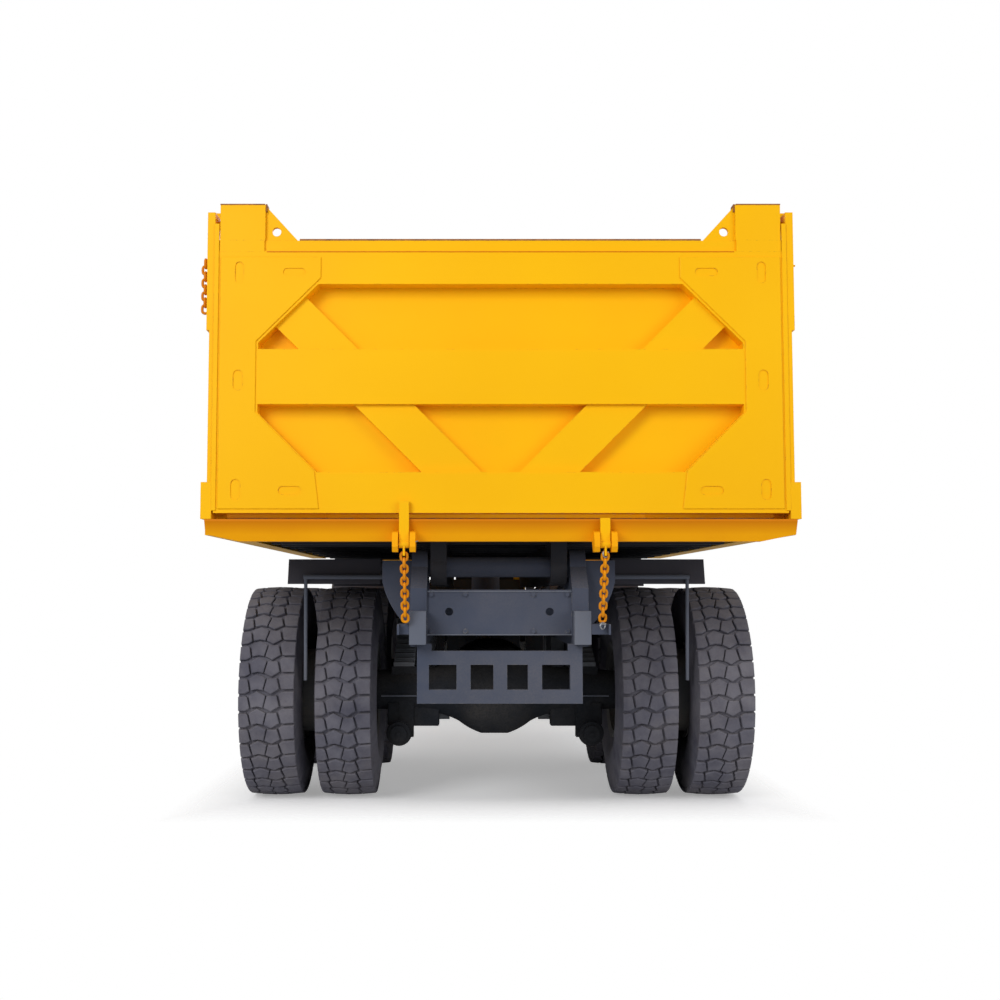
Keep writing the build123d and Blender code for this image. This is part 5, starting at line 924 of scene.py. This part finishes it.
for name, y, z, body in SHACKLES:
    bpy.ops.object.select_all(action="DESELECT")
    bpy.ops.mesh.primitive_torus_add(
        major_radius=SHACKLE_BOW_RADIUS,
        minor_radius=SHACKLE_WIRE_RADIUS,
        major_segments=24,
        minor_segments=10,
        location=(SHACKLE_X, y, z),
        rotation=(radians(90), 0, radians(40)),
    )
    bow = bpy.context.object
    apply_place(bow)
    bpy.ops.object.shade_smooth()
    pin_ends = [(SHACKLE_X + sign * SHACKLE_PIN_HALF, y, z + SHACKLE_PIN_RISE) for sign in MIRRORED]
    joined([bow, rod(*pin_ends, 0.0055, 10)])
    new_piece(f"shackle_{name}", zinc, body)
joined([rod(*ends, 0.003, 8) for ends in RETAINER_WIRES])
new_piece("hook_pin_retainer", zinc, "bed")

# Dark plastic: the cab's lining, the mirrors' shells and the grille.
# Moulded in black with a fine grain.
plastic, tree, shader = new_material("dark_plastic")
grain = noise(tree, object_coordinates(tree), 300, 2)
black = mix_colour(tree, grain, (0.018, 0.018, 0.02), (0.035, 0.035, 0.038))
tree.links.new(black, shader.inputs["Base Color"])
shader.inputs["Roughness"].default_value = 0.6
bump(tree, shader, grain, 0.0005)
finish_node(plastic, "cab_interior", "mirrors", "radiator_grille")

# Fuel tank on the right: pressed steel with two straps drawn round it, a filler neck and a screwed cap.
# The straps are dark iron, bolted at the outer side.
TANK_ROUND = 0.094
# Corners of the tank's section: across, up, and the angle where the round begins
TANK_CORNERS = ((1.31, 0.81, -90), (1.31, 1.29, 0), (0.698, 1.29, 90), (0.698, 0.81, 180))
STRAPS_Y = (0.31, 1.17)
STRAP_WIDTH = 0.06
STRAP_BOLTS_Z = (0.96, 1.14)
TANK_FACE_X = 1.404
FILLER_X = 1.12
FILLER_Y = 0.62
TANK_TOP_Z = 1.37
CAP_FOOT_Z = 1.40
CAP_TOP_Z = 1.425
tank_paint = sprayed_paint("tank_grey", (0.070, 0.078, 0.098), (0.092, 0.100, 0.122), 0.5, 0.45, True)
finish_node(tank_paint, "fuel_tank", "air_tanks")
strap_outline = []
for centre_x, centre_z, first in TANK_CORNERS:
    for step in range(7):
        turn = radians(first + 15 * step)
        strap_outline.append((centre_x + TANK_ROUND * cos(turn), centre_z + TANK_ROUND * sin(turn)))
straps = [drawn_plate("strap", strap_outline, y - STRAP_WIDTH / 2, STRAP_WIDTH, 0.001) for y in STRAPS_Y]
for z in STRAP_BOLTS_Z:
    straps += [rod((TANK_FACE_X, y, z), (TANK_FACE_X + 0.008, y, z), 0.012, 6) for y in STRAPS_Y]
joined(straps)
new_piece("fuel_tank_straps", cast_material, "chassis")
neck = rod((FILLER_X, FILLER_Y, TANK_TOP_Z), (FILLER_X, FILLER_Y, CAP_FOOT_Z), 0.055, 28)
cap = rod((FILLER_X, FILLER_Y, CAP_FOOT_Z), (FILLER_X, FILLER_Y, CAP_TOP_Z), 0.065, 14)
joined([neck, cap])
new_piece("fuel_filler", plastic, "chassis")

# Air tanks and battery box on the left: rolled drums in narrow bands, their ends dished round a plug.
# The box's lid is held down by two toggles.
DRUM_X = -0.88
DRUMS_Z = (0.88, 1.23)
BANDS_Y = (0.36, 1.12)
BAND_HALF = 0.022
BAND_RADIUS = 0.1535
DRUM_ENDS = ((0.06, -1), (1.42, 1))
BOX_LID_CORNERS = ((-1.403, 0.256, 1.285), (-1.058, 1.224, 1.334))
TOGGLES_Y = (0.46, 1.02)
TOGGLE_BAR_X = -1.411
TOGGLE_BAR_Z = 1.215
bands = []
for z in DRUMS_Z:
    for y in BANDS_Y:
        bands.append(rod((DRUM_X, y - BAND_HALF, z), (DRUM_X, y + BAND_HALF, z), BAND_RADIUS, 36))
    for y, way in DRUM_ENDS:
        bands.append(rod((DRUM_X, y - way * 0.002, z), (DRUM_X, y + way * 0.014, z), 0.105, 32))
        bands.append(rod((DRUM_X, y, z), (DRUM_X, y + way * 0.030, z), 0.018, 6))
bands.append(plate(*BOX_LID_CORNERS, 0.003))
for y in TOGGLES_Y:
    bands.append(plate((-1.409, y - 0.02, 1.20), (-1.402, y + 0.02, 1.31), 0.002))
    bar_ends = [(TOGGLE_BAR_X, y + sign * 0.03, TOGGLE_BAR_Z) for sign in MIRRORED]
    bands.append(rod(*bar_ends, 0.006, 10))
joined(bands)
new_piece("air_tank_bands", cast_material, "chassis")

# Hoist stages: ground and chromed tube that slides out of the barrel in three steps.
# The seals wipe it clean, so it carries no dust.
chrome, tree, shader = new_material("hoist_chrome")
shader.inputs["Metallic"].default_value = 1
shader.inputs["Base Color"].default_value = (0.62, 0.63, 0.65, 1)
wiped = noise(tree, object_coordinates(tree), 40, 4)
tree.links.new(spread(tree, wiped, 0.3, 0.7, 0.12, 0.24), shader.inputs["Roughness"])
finish_node(chrome, "hoist_stage_1", "hoist_stage_2", "hoist_stage_3")

# Glass: the cab's panes and the lamps' lenses, tempered and slightly green.
# A thin film of dust makes it rougher in places.
glass, tree, shader = new_material("cab_glass")
shader.inputs["Base Color"].default_value = (0.62, 0.70, 0.70, 1)
film = noise(tree, object_coordinates(tree), 14, 4)
tree.links.new(spread(tree, film, 0.35, 0.7, 0.02, 0.10), shader.inputs["Roughness"])
shader.inputs["Transmission Weight"].default_value = 1
finish_node(glass, "cab_glass", "door_glass", "headlamps")

# Door furniture: a rubber seal round the window, a pull handle of dark plastic with its lock, and a yellow
# grab rail of bent tube behind the door.
DOOR_FACE_X = -1.699
DOOR_WINDOW_Y = (2.80, 3.68)
DOOR_WINDOW_Z = (2.421, 3.139)
SEAL_RADIUS = 0.011
HANDLE_ENDS_Y = (2.772, 2.908)
HANDLE_Z = 2.272
HANDLE_PLATE_CORNERS = ((-1.703, 2.776, 2.268), (-1.697, 2.904, 2.284))
LOCK_Y = 2.80
LOCK_Z = 2.19
RAIL_X = -1.750
RAIL_Y = 2.62
RAIL_ENDS_Z = (1.95, 2.95)
RAIL_FEET_Z = (1.97, 2.93)
RAIL_RADIUS = 0.014
seal = []
for z in DOOR_WINDOW_Z:
    seal.append(rod(*((DOOR_FACE_X, y, z) for y in DOOR_WINDOW_Y), SEAL_RADIUS, 10))
for y in DOOR_WINDOW_Y:
    seal.append(rod(*((DOOR_FACE_X, y, z) for z in DOOR_WINDOW_Z), SEAL_RADIUS, 10))
joined(seal)
new_piece("door_window_seal", black_rubber, "cab_door")
handle = [
    rod(*((DOOR_FACE_X, y, HANDLE_Z) for y in HANDLE_ENDS_Y), 0.009, 12),
    plate(*HANDLE_PLATE_CORNERS, 0.002),
    rod((DOOR_FACE_X, LOCK_Y, LOCK_Z), (-1.708, LOCK_Y, LOCK_Z), 0.013),
]
joined(handle)
new_piece("door_handle", plastic, "cab_door")
rail = [rod(*((RAIL_X, RAIL_Y, z) for z in RAIL_ENDS_Z), RAIL_RADIUS)]
rail += [rod((DOOR_FACE_X, RAIL_Y, z), (-1.752, RAIL_Y, z), RAIL_RADIUS) for z in RAIL_FEET_Z]
joined(rail)
new_piece("grab_rail", yellow, "chassis")

# Windscreen: held in a rubber section and wiped by two arms that pivot under its lower edge.
# The cab's front is raked, so every rod lies along the slope.
CAB_FRONT_Y = 4.18
CAB_FRONT_Z = 2.40
CAB_FRONT_RAKE = 0.1932
SCREEN_EDGES_X = (-1.61, -0.37)
SCREEN_EDGES_Z = (2.48, 3.18)
WIPER_PIVOTS_X = (-1.42, -0.80)
WIPER_PIVOT_Z = 2.44
WIPER_REACH = 0.30


def on_screen(x, z, proud=0.0):
    """A point on the raked outer face of the cab's front, or a little in front of it."""
    return (x, CAB_FRONT_Y - CAB_FRONT_RAKE * (z - CAB_FRONT_Z) + proud, z)


seal = []
for z in SCREEN_EDGES_Z:
    seal.append(rod(*(on_screen(x, z) for x in SCREEN_EDGES_X), SEAL_RADIUS, 10))
for x in SCREEN_EDGES_X:
    seal.append(rod(*(on_screen(x, z) for z in SCREEN_EDGES_Z), SEAL_RADIUS, 10))
joined(seal)
new_piece("windscreen_seal", black_rubber, "chassis")
wipers = []
for x in WIPER_PIVOTS_X:
    tip_x = x + WIPER_REACH
    pivot_y = on_screen(x, WIPER_PIVOT_Z)[1]
    wipers.append(rod((x, pivot_y - 0.003, WIPER_PIVOT_Z), (x, pivot_y + 0.020, 2.444), 0.014))
    wipers.append(rod((x, pivot_y + 0.015, 2.443), on_screen(tip_x, 2.82, 0.004), 0.0055, 8))
    wipers.append(rod(on_screen(tip_x - 0.24, 3.02, 0.001), on_screen(tip_x + 0.18, 2.66, 0.001), 0.007, 8))
joined(wipers)
new_piece("wipers", plastic, "chassis")

# Studio: a pale floor that fades into a white surround, under a plain white sky.
# The floor glows a little for the camera alone, more towards the front of the truck.
bpy.ops.object.select_all(action="DESELECT")
bpy.ops.mesh.primitive_plane_add(size=80, location=(0, 0, 0))
floor = bpy.context.object
floor.name = "studio_floor"
floor_material, tree, shader = new_material("studio_floor")
floor.data.materials.append(floor_material)
shader.inputs["Base Color"].default_value = (0.86, 0.86, 0.87, 1)
shader.inputs["Roughness"].default_value = 0.95
fade = tree.nodes.new("ShaderNodeMixShader")
see_through = tree.nodes.new("ShaderNodeBsdfTransparent")
across = along_axis(tree, object_coordinates(tree), "X")
along = along_axis(tree, object_coordinates(tree), "Y")
outside = combine(tree, "MAXIMUM", spread(tree, across, 1.65, 2.2), spread(tree, across, -1.65, -2.2))
beyond = combine(tree, "MAXIMUM", spread(tree, along, -2.95, -3.9), spread(tree, along, 4.3, 5.3))
seen = tree.nodes.new("ShaderNodeLightPath").outputs["Is Camera Ray"]
glow = combine(tree, "MULTIPLY", seen, spread(tree, along, -2.8, 2.2, 0.30, 0.55))
tree.links.new(glow, shader.inputs["Emission Strength"])
shader.inputs["Emission Color"].default_value = (1, 1, 1, 1)
tree.links.new(combine(tree, "MAXIMUM", outside, beyond), fade.inputs["Fac"])
tree.links.new(shader.outputs["BSDF"], fade.inputs[1])
tree.links.new(see_through.outputs["BSDF"], fade.inputs[2])
tree.links.new(fade.outputs["Shader"], tree.nodes["Material Output"].inputs["Surface"])

world = bpy.data.worlds.new("studio_sky")
bpy.context.scene.world = world
world.use_nodes = True
tree = world.node_tree
sky = tree.nodes["Background"]
sky.inputs["Color"].default_value = (1, 1, 1, 1)
rays = tree.nodes.new("ShaderNodeLightPath")
seen = combine(tree, "ADD", rays.outputs["Is Camera Ray"], rays.outputs["Is Transmission Ray"])
tree.links.new(spread(tree, seen, 0, 1, 0.44, 1.0), sky.inputs["Strength"])

# Lamps: a large soft key behind the truck on the left, a weaker fill on the right.
# A third lights the front for views from ahead.


def soft_lamp(name, place, target, width, power):
    bpy.ops.object.light_add(type="AREA", location=place)
    lamp = bpy.context.object
    lamp.name = name
    lamp.data.size = width
    lamp.data.energy = power
    lamp.rotation_euler = (Vector(target) - Vector(place)).to_track_quat("-Z", "Y").to_euler()


soft_lamp("key", (-7, -15, 7), (0, -3, 2), 6, 940)
soft_lamp("fill", (8, -12, 4.5), (0, -3, 1.5), 7, 330)
soft_lamp("front", (4, 13, 8), (0, 2, 1.5), 7, 600)

# Camera: a little left of the truck's middle, at the height of the frame, looking up by a few degrees.
# The picture's width is shifted so that the truck stands left of its centre.
CAMERA_PLACE = (-0.20, -11.94, 1.456)
CAMERA_TILT = 94.21
bpy.ops.object.camera_add(location=CAMERA_PLACE, rotation=(radians(CAMERA_TILT), 0, 0))
camera = bpy.context.object
camera.data.lens = 45
camera.data.sensor_width = 36
camera.data.shift_x = 0.033
scene = bpy.context.scene
scene.camera = camera
scene.render.engine = "CYCLES"
scene.render.resolution_x = 1000
scene.render.resolution_y = 1000
scene.view_settings.view_transform = "Standard"
